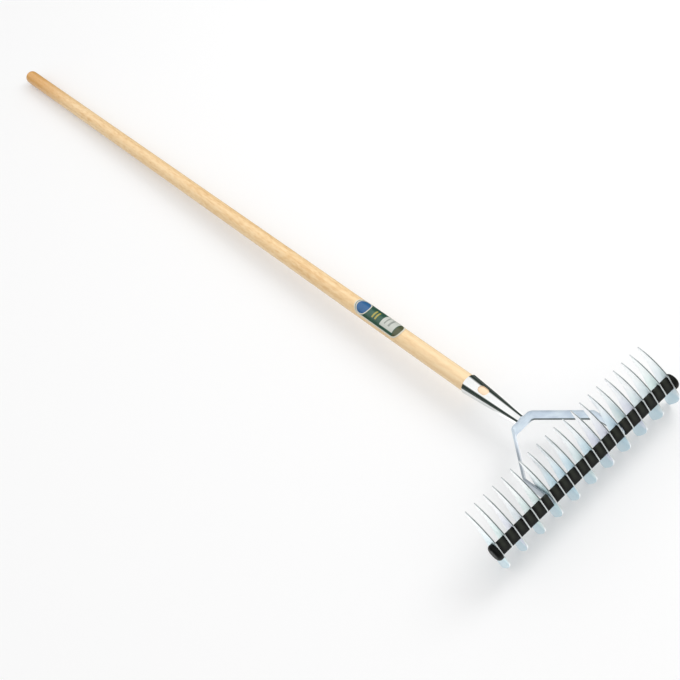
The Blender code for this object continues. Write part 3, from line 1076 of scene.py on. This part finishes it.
@dataclass(frozen=True)
class SpacerShape:
    """The section of a spacer: round about the rod, with a flat face that runs up to a nose."""

    face: BarFace
    radius: float
    proud: float = 0.3 * MM
    nose_reach: float = 16.7 * MM
    nose_rounding: float = 2.8 * MM

    def loops(self) -> list[list[Point]]:
        """Return the section and the rod's hole.

        Returns:
            The two loops, each as its points in order.
        """
        offset = self.face.from_rod - self.proud
        foot = Vector(self.face.at(-math.sqrt(self.radius**2 - offset**2), offset))
        nose = Vector(self.face.at(self.nose_reach, offset))
        foot_angle = math.atan2(foot.y, foot.x) % (2 * math.pi) - 2 * math.pi
        side_angle = math.atan2(nose.y, nose.x) - math.acos(self.radius / nose.length)
        under = arc((0.0, 0.0), self.radius, foot_angle, side_angle, 40)
        nose_arc = rounded_corner(under[-1], tuple(nose), tuple(foot), self.nose_rounding)
        return [under + nose_arc, circle(ROD_HOLE_RADIUS)]


# Rows of pieces, made by Geometry Nodes


@dataclass(frozen=True)
class RowInputs:
    """The sizes and materials that a row's tree takes."""

    count: int
    first: float
    pitch: float
    thickness: float
    sides: Material
    rim: Material
    short_left: int = -1
    short_right: int = -1
    room: float = 0.0


class RowTree(NodeMaker):
    """Extrudes a flat section along Z, repeats it down X and sets the materials of sides and rim.

    Two pieces of the row may be shorter than the rest, to leave room for a strap on their right or left.
    """

    INPUTS = {
        "count": "Int",
        "first": "Float",
        "pitch": "Float",
        "thickness": "Float",
        "sides": "Material",
        "rim": "Material",
        "short_left": "Int",
        "short_right": "Int",
        "room": "Float",
    }

    def __init__(self) -> None:
        """Build the tree."""
        super().__init__(bpy.data.node_groups.new("row_of_pieces", "GeometryNodeTree"))
        self.socket("Section", "INPUT", "Geometry")
        self.ids = {name: self.socket(name, "INPUT", kind) for name, kind in self.INPUTS.items()}
        self.socket("Row", "OUTPUT", "Geometry")
        entry = self.add("NodeGroupInput")
        given = {socket.name: Wire(self, socket) for socket in entry.outputs if socket.name}
        row = self.repeat(self.piece(given), given)
        row = self.changed("GeometryNodeRealizeInstances", row)
        row = self.changed("GeometryNodeSetMaterial", row, Material=given["sides"])
        marks = {"data_type": "BOOLEAN"}
        rim = self.wire("GeometryNodeInputNamedAttribute", marks, {"Name": "rim"}, "Attribute")
        row = self.changed("GeometryNodeSetMaterial", row, Selection=rim, Material=given["rim"])
        self.add("NodeGroupOutput", None, {"Row": row})

    def socket(self, name: str, way: str, kind: str) -> str:
        """Add an input or an output to the tree, and return its identifier."""
        made = self.tree.interface.new_socket(name=name, in_out=way, socket_type=f"NodeSocket{kind}")
        return made.identifier

    def changed(self, kind: str, geometry: Wire, **inputs: Any) -> Wire:
        """Return a geometry as it comes out of one more node."""
        return self.wire(kind, None, {"Geometry": geometry, **inputs}, "Geometry")

    def vector(self, **parts: Wire | float) -> Wire:
        """Return the vector with these parts, which are named X, Y and Z. One that is left out is 0."""
        return self.wire("ShaderNodeCombineXYZ", None, parts, "Vector")

    def chosen(self, number: Wire) -> Wire:
        """Return 1 at the piece that has a number, and 0 elsewhere.

        Args:
            number: the piece's number, counted from 0.

        Returns:
            The answer for each piece.
        """
        index = self.wire("GeometryNodeInputIndex", None, None, "Index")
        same = {"data_type": "INT", "operation": "EQUAL"}
        return self.wire("FunctionNodeCompare", same, {"A": index, "B": number}, "Result")

    def piece(self, given: Mapping[str, Wire]) -> Wire:
        """Return one closed piece, centred on its thickness, with its rim marked.

        Args:
            given: the tree's inputs, by name.

        Returns:
            The piece.
        """
        section, thickness = given["Section"], given["thickness"]
        flat = self.wire("GeometryNodeFlipFaces", None, {"Mesh": section}, "Mesh")
        sizes = {"Mesh": section, "Offset Scale": thickness, "Individual": False}
        grown = self.add("GeometryNodeExtrudeMesh", {"mode": "FACES"}, sizes)
        marked = {"Geometry": grown.outputs["Mesh"], "Name": "rim", "Value": grown.outputs["Side"]}
        kind = {"data_type": "BOOLEAN", "domain": "FACE"}
        body = self.wire("GeometryNodeStoreNamedAttribute", kind, marked, "Geometry")
        both = self.add("GeometryNodeJoinGeometry")
        for part in (flat, body):
            self.tree.links.new(part.socket, both.inputs[0])
        whole = self.changed("GeometryNodeMergeByDistance", Wire(self, both.outputs[0]), Distance=1e-6)
        middle = self.vector(Z=thickness * -0.5)
        whole = self.changed("GeometryNodeTransform", whole, Translation=middle)
        return self.changed("GeometryNodeTransform", whole, Rotation=(math.pi / 2, 0.0, math.pi / 2))

    def repeat(self, piece: Wire, given: Mapping[str, Wire]) -> Wire:
        """Return the piece, set down along the row.

        Args:
            piece: the piece.
            given: the tree's inputs, by name.

        Returns:
            The row, as instances of the piece.
        """
        start, stride = self.vector(X=given["first"]), self.vector(X=given["pitch"])
        line = {"Count": given["count"], "Start Location": start, "Offset": stride}
        points = self.wire("GeometryNodeMeshLine", {"mode": "OFFSET"}, line, "Mesh")
        left, right = self.chosen(given["short_left"]), self.chosen(given["short_right"])
        shift = self.vector(X=(right - left) * given["room"] * 0.5)
        points = self.changed("GeometryNodeSetPosition", points, Offset=shift)
        length = 1.0 - (left + right) * given["room"] / given["thickness"]
        placed = {"Points": points, "Instance": piece, "Scale": self.vector(X=length, Y=1.0, Z=1.0)}
        return self.wire("GeometryNodeInstanceOnPoints", None, placed, "Instances")

    def build(self, name: str, loops: Sequence[Sequence[Point]], given: RowInputs) -> Object:
        """Make one row as a plain mesh, in the head's frame.

        Args:
            name: the row's name.
            loops: the section's outline and holes.
            given: the row's sizes and materials.

        Returns:
            The row.
        """
        maker = make_object(name, flat_plate(loops))
        modifier = maker.modifiers.new("row", "NODES")
        modifier.node_group = self.tree
        for label, identifier in self.ids.items():
            modifier[identifier] = getattr(given, label)
        return bake_shape(maker)


# Sub-assemblies


@dataclass
class Head:
    """The row of blades on its bar, with the end caps."""

    frames: RakeFrames
    blades: int = 21
    in_yoke: int = 9
    pitch: float = 16.75 * MM
    blade_thickness: float = 1.6 * MM
    gap: float = 0.3 * MM
    strap: float = 3.0 * MM
    bar_radius: float = 9.35 * MM
    cap_radius: float = 12.3 * MM
    cap_length: float = 8.2 * MM
    cap_rounding: float = 4.8 * MM
    cap_lip: float = 0.6 * MM
    edge_rounding: float = 0.22 * MM
    spacer_rounding: float = 0.9 * MM
    face: BarFace = BarFace()

    @property
    def left_of_yoke(self) -> int:
        """Return the number of blades on the left of the yoke."""
        return (self.blades - self.in_yoke) // 2

    def centre(self, number: int) -> float:
        """Return the X of one blade, counted from 1."""
        return (number - 1 - self.left_of_yoke - (self.in_yoke - 1) / 2) * self.pitch

    def place(self, piece: Object) -> Object:
        """Move a finished mesh from the head's frame to the row's."""
        piece.data.transform(self.frames.head)
        return piece

    def build_blades(self, tree: RowTree, sides: Material, rim: Material) -> None:
        """Build the long and the short blades, each as one row.

        Args:
            tree: the tree that repeats a section.
            sides: the material of the sheet's sides.
            rim: the material of its cut edges.
        """
        shape = BladeShape(self.face, self.bar_radius)
        for kind, first in ((Tail.LONG, 1), (Tail.SHORT, 2)):
            numbers = range(first, self.blades + 1, 2)
            stride, thickness = 2 * self.pitch, self.blade_thickness
            given = RowInputs(len(numbers), self.centre(first), stride, thickness, sides, rim)
            row = tree.build(f"blades_{kind.value}", shape.loops(kind), given)
            row = self.place(soften(row, self.edge_rounding))
            dress(row, sides, Slot.BLADE_STEEL, *(f"blade_{number:02d}" for number in numbers))

    def build_spacers(self, tree: RowTree, plastic: Material) -> None:
        """Build the spacers in the bays, two of them shorter to leave room for the yoke's tabs.

        Args:
            tree: the tree that repeats a section.
            plastic: the spacers' material.
        """
        shape = SpacerShape(self.face, self.bar_radius)
        given = RowInputs(
            count=self.blades - 1,
            first=self.centre(1) + self.pitch / 2,
            pitch=self.pitch,
            thickness=self.pitch - self.blade_thickness - 2 * self.gap,
            sides=plastic,
            rim=plastic,
            short_left=self.left_of_yoke - 1,
            short_right=self.left_of_yoke + self.in_yoke - 1,
            room=self.strap + self.gap,
        )
        row = tree.build("spacers", shape.loops(), given)
        row = self.place(soften(row, self.spacer_rounding, 3))
        dress(row, plastic, Slot.BLACK_PLASTIC, *(f"spacer_{bay:02d}" for bay in range(1, self.blades)))

    def build_caps(self, plastic: Material) -> None:
        """Build the domed cap at each end of the bar.

        Args:
            plastic: the caps' material.
        """
        for name, side, number in (("left", -1, 1), ("right", 1, self.blades)):
            start = abs(self.centre(number)) + self.blade_thickness / 2 + self.gap
            top = start + self.cap_length
            rim = (self.cap_radius - self.cap_rounding, top - self.cap_rounding)
            dome = arc(rim, self.cap_rounding, 0.0, math.pi / 2, 12)
            corner = (self.cap_radius - self.cap_lip, start + self.cap_lip)
            lip = arc(corner, self.cap_lip, -math.pi / 2, 0.0, 4)
            profile = [(0.0, start), *lip, *dome, (0.0, top)]
            turn = Matrix.Rotation(side * math.pi / 2, 4, "Y")
            cap = smooth(make_object(f"{name}_cap", lathe(profile, 56), self.frames.head @ turn))
            dress(cap, plastic, Slot.BLACK_PLASTIC, f"{name}_end_cap")


@dataclass
class Yoke:
    """The bent strap that carries the bar."""

    frames: RakeFrames
    span_half: float
    thickness: float
    width: float = 18.5 * MM
    crown_half: float = 17.7 * MM
    depth: float = 121.6 * MM
    tab_length: float = 47.0 * MM
    bend_radius: float = 9.0 * MM
    end_set_back: float = 3.0 * MM
    edge_rounding: float = 0.45 * MM

    def edge(self, offset: float) -> list[Point]:
        """Return one edge of the strap from above, at an offset outwards from its middle line.

        Args:
            offset: the distance from the middle line.

        Returns:
            The points, from the right tab's end to the left one's.
        """
        splay = math.atan2(self.depth - self.tab_length, self.span_half - self.crown_half)
        side = self.span_half + offset
        crown_half = self.crown_half + offset * math.tan(splay / 2)
        shoulder = self.tab_length + offset * math.tan((math.pi / 2 - splay) / 2)
        right = [(side, -self.width), (side, shoulder), (crown_half, self.depth + offset)]
        path = right + [(-x, y) for x, y in reversed(right)]
        points = [path[0]]
        for before, corner, after in zip(path, path[1:], path[2:]):
            points += rounded_corner(before, corner, after, self.bend_radius + offset)
        return points + [path[-1]]

    def build(self, zinc: Material) -> None:
        """Build the strap.

        Args:
            zinc: the strap's material.
        """
        half = self.thickness / 2
        outline = self.edge(half) + list(reversed(self.edge(-half)))
        strap = make_object("yoke_strap", thick_plate([outline], -self.width / 2, self.width / 2))
        past = self.width / 2 + self.thickness
        far = self.depth + self.width
        back = self.end_set_back
        round_end = arc((back, 0.0), self.width / 2, math.pi / 2, 3 * math.pi / 2, 32)
        side = [(back, past), *round_end, (back, -past), (far, -past), (far, past)]
        side_on = Matrix(((0, 0, 1, 0), (1, 0, 0, 0), (0, 1, 0, 0), (0, 0, 0, 1)))
        reach = self.span_half + self.thickness
        shape = thick_plate([side, circle(ROD_HOLE_RADIUS)], -reach, reach)
        profile = make_object("yoke_profile", shape, side_on)
        yoke = soften(cut_with(strap, profile, "INTERSECT"), self.edge_rounding, 3)
        yoke.data.transform(self.frames.yoke)
        dress(yoke, zinc, Slot.ZINC, "yoke")


@dataclass
class Weld:
    """The bead that joins the socket's tail to the yoke's crown, with the ripples of its passes."""

    frames: RakeFrames
    tail_radius: float
    crown_face: float
    size: float = 2.2 * MM
    outwards: float = 0.42
    thickness: float = 0.62
    ripple: float = 0.14
    ripples: int = 22
    lift: float = 0.35 * MM
    steps: int = 120
    sides: int = 10

    def ring(self, angle: float, lean: Vector) -> list[Vector]:
        """Return the points round the bead at one angle of the socket.

        Args:
            angle: the angle.
            lean: the way that the crown faces, in the handle's frame.

        Returns:
            The points.
        """
        swell = 1.0 - self.ripple + self.ripple * abs(math.sin(angle * self.ripples / 2))
        size = self.size * self.thickness * swell
        out = Vector((math.cos(angle), math.sin(angle), 0.0))
        centre = out * (self.tail_radius + self.size * self.outwards)
        centre.z = self.crown_face + self.lift - lean.xy.dot(centre.xy) / lean.z
        turns = (2 * math.pi * corner / self.sides for corner in range(self.sides))
        return [centre + size * (out * math.cos(t) + Vector((0.0, 0.0, math.sin(t)))) for t in turns]

    def build(self, zinc: Material) -> None:
        """Build the bead.

        Args:
            zinc: the bead's material.
        """
        crown_way = self.frames.yoke.to_3x3() @ Vector((0.0, 1.0, 0.0))
        lean = self.frames.handle.to_3x3().inverted() @ crown_way
        shape = bmesh.new()
        angles = (2 * math.pi * step / self.steps for step in range(self.steps))
        rings = [[shape.verts.new(point) for point in self.ring(angle, lean)] for angle in angles]
        for here, after in zip(rings, rings[1:] + rings[:1]):
            for corner in range(self.sides):
                shape.faces.new((here[corner - 1], here[corner], after[corner], after[corner - 1]))
        weld = smooth(make_object("weld_bead", closed(shape), self.frames.handle), 80.0)
        dress(weld, zinc, Slot.ZINC, "ferrule_weld")


@dataclass
class Ferrule:
    """The tapered chrome socket, with its oval slot."""

    frames: RakeFrames
    length: float = 111.5 * MM
    mouth_radius: float = 15.85 * MM
    tail_radius: float = 7.4 * MM
    wall: float = 1.3 * MM
    solid: float = 12.0 * MM
    slot_length: float = 18.5 * MM
    slot_width: float = 12.6 * MM
    slot_from_mouth: float = 34.1 * MM
    tail_height: float = 2.4 * MM
    lip: float = 0.25 * MM
    handle_depth: float = 71.3 * MM
    sides: int = 128

    def radius(self, height: float) -> float:
        """Return the outer radius at a height along the handle's axis."""
        return self.tail_radius + (self.mouth_radius - self.tail_radius) * height / self.length

    def build(self, chrome: Material) -> None:
        """Build the socket, cut its slot and give its outside the normals of a true cone.

        Args:
            chrome: the socket's material.
        """
        edge = self.length - self.lip
        profile = [
            (0.0, self.tail_height),
            (self.radius(self.tail_height), self.tail_height),
            (self.radius(edge), edge),
            (self.mouth_radius - self.lip, self.length),
            (self.mouth_radius - self.wall, self.length),
            (self.radius(self.solid) - self.wall, self.solid),
            (0.0, self.solid),
        ]
        cone = make_object("socket", lathe(profile, self.sides))
        half = (self.slot_length - self.slot_width) / 2
        upper = arc((0.0, half), self.slot_width / 2, 0.0, math.pi, 24)
        outline = upper + [(-x, -y) for x, y in upper]
        centre = Matrix.Translation((0.0, 0.0, self.length - self.slot_from_mouth))
        turn = Matrix.Rotation(math.pi / 2, 4, "X")
        shape = thick_plate([outline], 0.0, 2 * self.mouth_radius)
        socket = cut_with(cone, make_object("slot_tool", shape, centre @ turn))
        self.true_normals(socket.data)
        socket.data.transform(self.frames.handle)
        dress(socket, chrome, Slot.CHROME, "ferrule")

    def true_normals(self, mesh: Mesh) -> None:
        """Give the outer cone its true normals, so that its reflections run straight.

        Args:
            mesh: the socket's mesh, in the handle's frame.
        """
        mesh.shade_smooth()
        mesh.set_sharp_from_angle(angle=math.radians(30.0))
        slope = (self.mouth_radius - self.tail_radius) / self.length
        normals = [Vector(normal.vector) for normal in mesh.corner_normals]
        for face in mesh.polygons:
            middle = face.center
            outwards = Vector((middle.x, middle.y, 0.0)).normalized()
            on_cone = abs(middle.xy.length - self.radius(middle.z)) < 0.3 * MM
            if not (on_cone and face.normal.dot(outwards) > 0.9):
                continue
            for corner in face.loop_indices:
                point = mesh.vertices[mesh.loops[corner].vertex_index].co
                spoke = Vector((point.x, point.y, 0.0)).normalized()
                normals[corner] = Vector((spoke.x, spoke.y, -slope)).normalized()
        mesh.normals_split_custom_set(normals)


@dataclass
class Handle:
    """The round wooden handle and the label glued on it."""

    frames: RakeFrames
    foot: float
    foot_radius: float
    mouth: float
    radius: float = 14.25 * MM
    end_rounding: float = 8.0 * MM
    label_start: float = 147.4 * MM
    label_length: float = 113.0 * MM
    label_width: float = 33.6 * MM
    label_lift: float = 0.3 * MM
    label_thickness: float = 0.25 * MM
    rings: int = 24

    def build(self, wood: Material) -> None:
        """Build the handle, with its rings close enough for a straight grain.

        Args:
            wood: the handle's material.
        """
        top = self.frames.handle_end
        corner = (self.radius - self.end_rounding, top - self.end_rounding)
        rounding = arc(corner, self.end_rounding, 0.0, math.pi / 2, 16)
        straight = corner[1] - self.mouth
        shaft = [(self.radius, self.mouth + straight * step / self.rings) for step in range(self.rings)]
        profile = [(0.0, self.foot), (self.foot_radius, self.foot), *shaft, *rounding, (0.0, top)]
        pole = smooth(make_object("handle_pole", lathe(profile, 72), self.frames.handle))
        dress(pole, wood, Slot.WOOD, "handle")

    def build_label(self, print_finish: Material) -> None:
        """Build the label as a thin sheet with round ends, wrapped on the handle, with its own UV map.

        Args:
            print_finish: the label's material.
        """
        rows, columns = 96, 24
        low = self.radius + self.label_lift
        half = self.label_width / 2
        straight = self.label_length / 2 - half
        shape = bmesh.new()
        sheet = shape.loops.layers.uv.new("label")
        grid: list[list[tuple[bmesh.types.BMVert, Point]]] = []
        for row in range(rows + 1):
            angle = math.pi * row / rows - math.pi / 2
            along = math.sin(angle) * self.label_length / 2
            past = max(abs(along) - straight, 0.0)
            reach = math.sqrt(max(half * half - past * past, 0.0))
            line = []
            for column in range(columns + 1):
                across = reach * (2 * column / columns - 1)
                turn = across / low
                spot = (low * math.sin(turn), -low * math.cos(turn), along)
                uv = (across / self.label_width + 0.5, along / self.label_length + 0.5)
                line.append((shape.verts.new(spot), uv))
            grid.append(line)
        for here, after in zip(grid, grid[1:]):
            for at in range(columns):
                corners = [here[at], here[at + 1], after[at + 1], after[at]]
                made = shape.faces.new([vert for vert, _ in corners])
                for loop, (_, uv) in zip(made.loops, corners):
                    loop[sheet].uv = uv
        bmesh.ops.remove_doubles(shape, verts=shape.verts, dist=1e-7)
        middle = self.mouth + self.label_start + self.label_length / 2
        place = self.frames.handle @ Matrix.Translation((0.0, 0.0, middle))
        maker = make_object("label_sheet", shape, place)
        solidify = maker.modifiers.new("paper", "SOLIDIFY")
        solidify.thickness = self.label_thickness
        solidify.offset = 1.0
        label = smooth(bake_shape(maker), 50.0)
        dress(label, print_finish, Slot.LABEL, "handle_label")


# Studio


@dataclass(frozen=True)
class PhotoCamera:
    """The camera that took the photograph, solved in the head's frame."""

    position: tuple[float, float, float] = (-0.500775, -0.5899, 1.3463)
    forward: tuple[float, float, float] = (0.24293, 0.58466, -0.77405)
    up: tuple[float, float, float] = (0.63612, 0.50641, 0.58215)
    focal_pixels: float = 1130.70
    picture_pixels: float = 680.0
    sensor: float = 36.0

    def build(self, head: Matrix) -> None:
        """Set the camera up.

        Args:
            head: the head's frame.
        """
        data = bpy.data.cameras.new("photo_camera")
        data.sensor_width = self.sensor
        data.lens = self.focal_pixels / self.picture_pixels * self.sensor
        data.clip_start, data.clip_end = 0.05, 60.0
        camera = bpy.data.objects.new("photo_camera", data)
        bpy.context.scene.collection.objects.link(camera)
        back, up = -Vector(self.forward).normalized(), Vector(self.up)
        right = up.cross(back).normalized()
        axes = Matrix((right, back.cross(right), back)).transposed().to_4x4()
        camera.matrix_world = head @ Matrix.Translation(self.position) @ axes
        bpy.context.scene.camera = camera


@dataclass(frozen=True)
class Studio:
    """A pale floor under soft light, with dark flags beside the overhead light for the metal to show."""

    key_place: tuple[float, float, float] = (1.9, -0.6, 1.9)
    key_size: float = 1.6
    key_power: float = 20.0
    side_fill: float = 0.68
    top_fill: float = 1.00
    floor_colour: Colour = (0.75, 0.75, 0.75)
    floor_glow: float = 0.19
    mirror_glow: float = 3.2
    floor_reach: float = 9.0
    floor_drop: float = 0.2 * MM
    pale_strip: tuple[float, float] = (-0.12, 0.03)
    strip_blur: float = 0.02
    strip_share: float = 0.55
    head_half: float = 0.30
    head_edge: float = -0.68
    head_blur: float = 0.06
    left_flag: tuple[float, float] = (-62.0, -48.0)
    right_flag: tuple[float, float] = (34.0, 62.0)
    flag_colour: Colour = (0.034, 0.048, 0.040)

    def build(self) -> None:
        """Build the floor, the lamp and the world."""
        self.build_floor()
        self.build_key()
        self.build_world()
        bpy.context.scene.view_settings.view_transform = "Standard"

    @staticmethod
    def rays(nodes: NodeMaker) -> tuple[Wire, Wire]:
        """Return whether a ray shows the background straight or through glass, and in gloss.

        Args:
            nodes: the maker of the tree that asks.

        Returns:
            The two answers, each 1 or 0.
        """
        kinds = ("Is Camera Ray", "Is Transmission Ray", "Is Glossy Ray")
        camera, through, gloss = (nodes.wire("ShaderNodeLightPath", None, None, k) for k in kinds)
        return camera + through, gloss

    def build_floor(self) -> None:
        """Lay the floor just under the rake."""
        reach = self.floor_reach
        square = [(-reach, -reach), (reach, -reach), (reach, reach), (-reach, reach)]
        lowered = Matrix.Translation((0.0, 0.0, -self.floor_drop))
        floor = make_object("studio_floor", flat_plate([square]), lowered)
        skin = Surface("studio_floor")
        seen, gloss = self.rays(skin)
        across, along, _ = skin.split(skin.place)
        left, right = self.pale_strip
        blur, far = self.strip_blur, self.head_half + self.head_blur
        narrow = across.step(left - blur, left) * (1.0 - across.step(right, right + blur))
        wide = 1.0 - abs(across).step(self.head_half, far)
        by_head = 1.0 - along.step(self.head_edge, self.head_edge + self.head_blur)
        pale = (narrow * self.strip_share).math("MAXIMUM", wide * by_head)
        # Painted reflections: to glossy rays the floor is dark but for a strip under the handle and a patch
        # round the head, which glow for the metal to show.
        flagged = gloss * (1.0 - pale)
        skin.give("Base Color", skin.mix(flagged, self.floor_colour, self.flag_colour))
        skin.give("Roughness", 0.9)
        skin.give("Emission Color", seen + gloss * pale * self.mirror_glow)
        skin.give("Emission Strength", self.floor_glow)
        floor.data.materials.append(skin.material)

    def build_key(self) -> None:
        """Hang the soft key light."""
        data = bpy.data.lights.new("key_light", "AREA")
        data.shape = "DISK"
        data.size = self.key_size
        data.energy = self.key_power
        lamp = bpy.data.objects.new("key_light", data)
        bpy.context.scene.collection.objects.link(lamp)
        lamp.location = self.key_place
        lamp.rotation_euler = (-Vector(self.key_place)).to_track_quat("-Z", "Y").to_euler()

    def build_world(self) -> None:
        """Make the world: white to the camera, and to gloss a bright top over dark flags."""
        world = bpy.data.worlds.new("studio")
        world.use_nodes = True
        bpy.context.scene.world = world
        nodes = NodeMaker(world.node_tree)
        background = world.node_tree.nodes["Background"]
        way = nodes.wire("ShaderNodeTexCoord", None, None, "Generated")
        across, _, height = nodes.split(way)
        side = across.math("ARCTAN2", height)
        bright = side.step(*map(math.radians, self.left_flag))
        bright = bright * (1.0 - side.step(*map(math.radians, self.right_flag)))
        seen, gloss = self.rays(nodes)
        fill = self.side_fill + height.step(0.0, 1.0) * (self.top_fill - self.side_fill)
        white = (1.0, 1.0, 1.0)
        nodes.feed(background.inputs["Color"], nodes.mix(gloss * (1.0 - bright), white, self.flag_colour))
        nodes.feed(background.inputs["Strength"], seen + gloss + (1.0 - seen - gloss) * fill)


def dress_hidden_hardware(steel: Material) -> None:
    """Give the rod, washers, nuts and nail their steel, as the solids' shapes are right.

    Args:
        steel: their material.
    """
    ends = (f"{side}_{piece}" for side in ("left", "right") for piece in ("washer", "nut"))
    hidden = {"core_rod", "ferrule_nail", *ends}
    for node in bpy.data.objects:
        if node.get("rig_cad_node") in hidden:
            for slot in node.material_slots:
                slot.material = steel


def corners(box: tuple[Vector, Vector]) -> list[list[float]]:
    """Return a box's corners as plain lists."""
    return [list(corner) for corner in box]


def main() -> None:
    """Build the rake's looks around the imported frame, and the studio."""
    logging.basicConfig(level=logging.INFO, format="%(message)s")
    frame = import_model()
    frames = RakeFrames.read(frame["record"])
    head = Head(frames)
    ferrule = Ferrule(frames)
    foot = ferrule.length - ferrule.handle_depth
    handle = Handle(frames, foot, ferrule.radius(foot) - ferrule.wall - head.gap, ferrule.length)
    span = (head.in_yoke - 1) / 2 * head.pitch + head.blade_thickness / 2 + head.gap + head.strap / 2
    yoke = Yoke(frames, span, head.strap)
    plastic = PlasticFinish(frames.head, head.pitch, head.face.degrees)
    zinc = ZincFinish(frames.yoke, yoke.width / 2).material()
    tree = RowTree()
    blade_sides = BladeFinish(frames.head, head.pitch).material()
    head.build_blades(tree, blade_sides, ShearedFinish(frames.head).material())
    head.build_spacers(tree, plastic.material("spacer_plastic", 1.0))
    head.build_caps(plastic.material("cap_plastic", 0.0))
    yoke.build(zinc)
    Weld(frames, ferrule.tail_radius, head.strap / 2).build(zinc)
    ferrule.build(ChromeFinish(frames.handle).material())
    handle.build(WoodFinish(frames.handle, frames.handle_end, ferrule.length).material())
    handle.build_label(LabelFinish(handle.label_length, handle.label_width).material())
    dress_hidden_hardware(SteelFinish().material())
    PhotoCamera().build(frames.head)
    Studio().build()


if __name__ == "__main__":
    main()
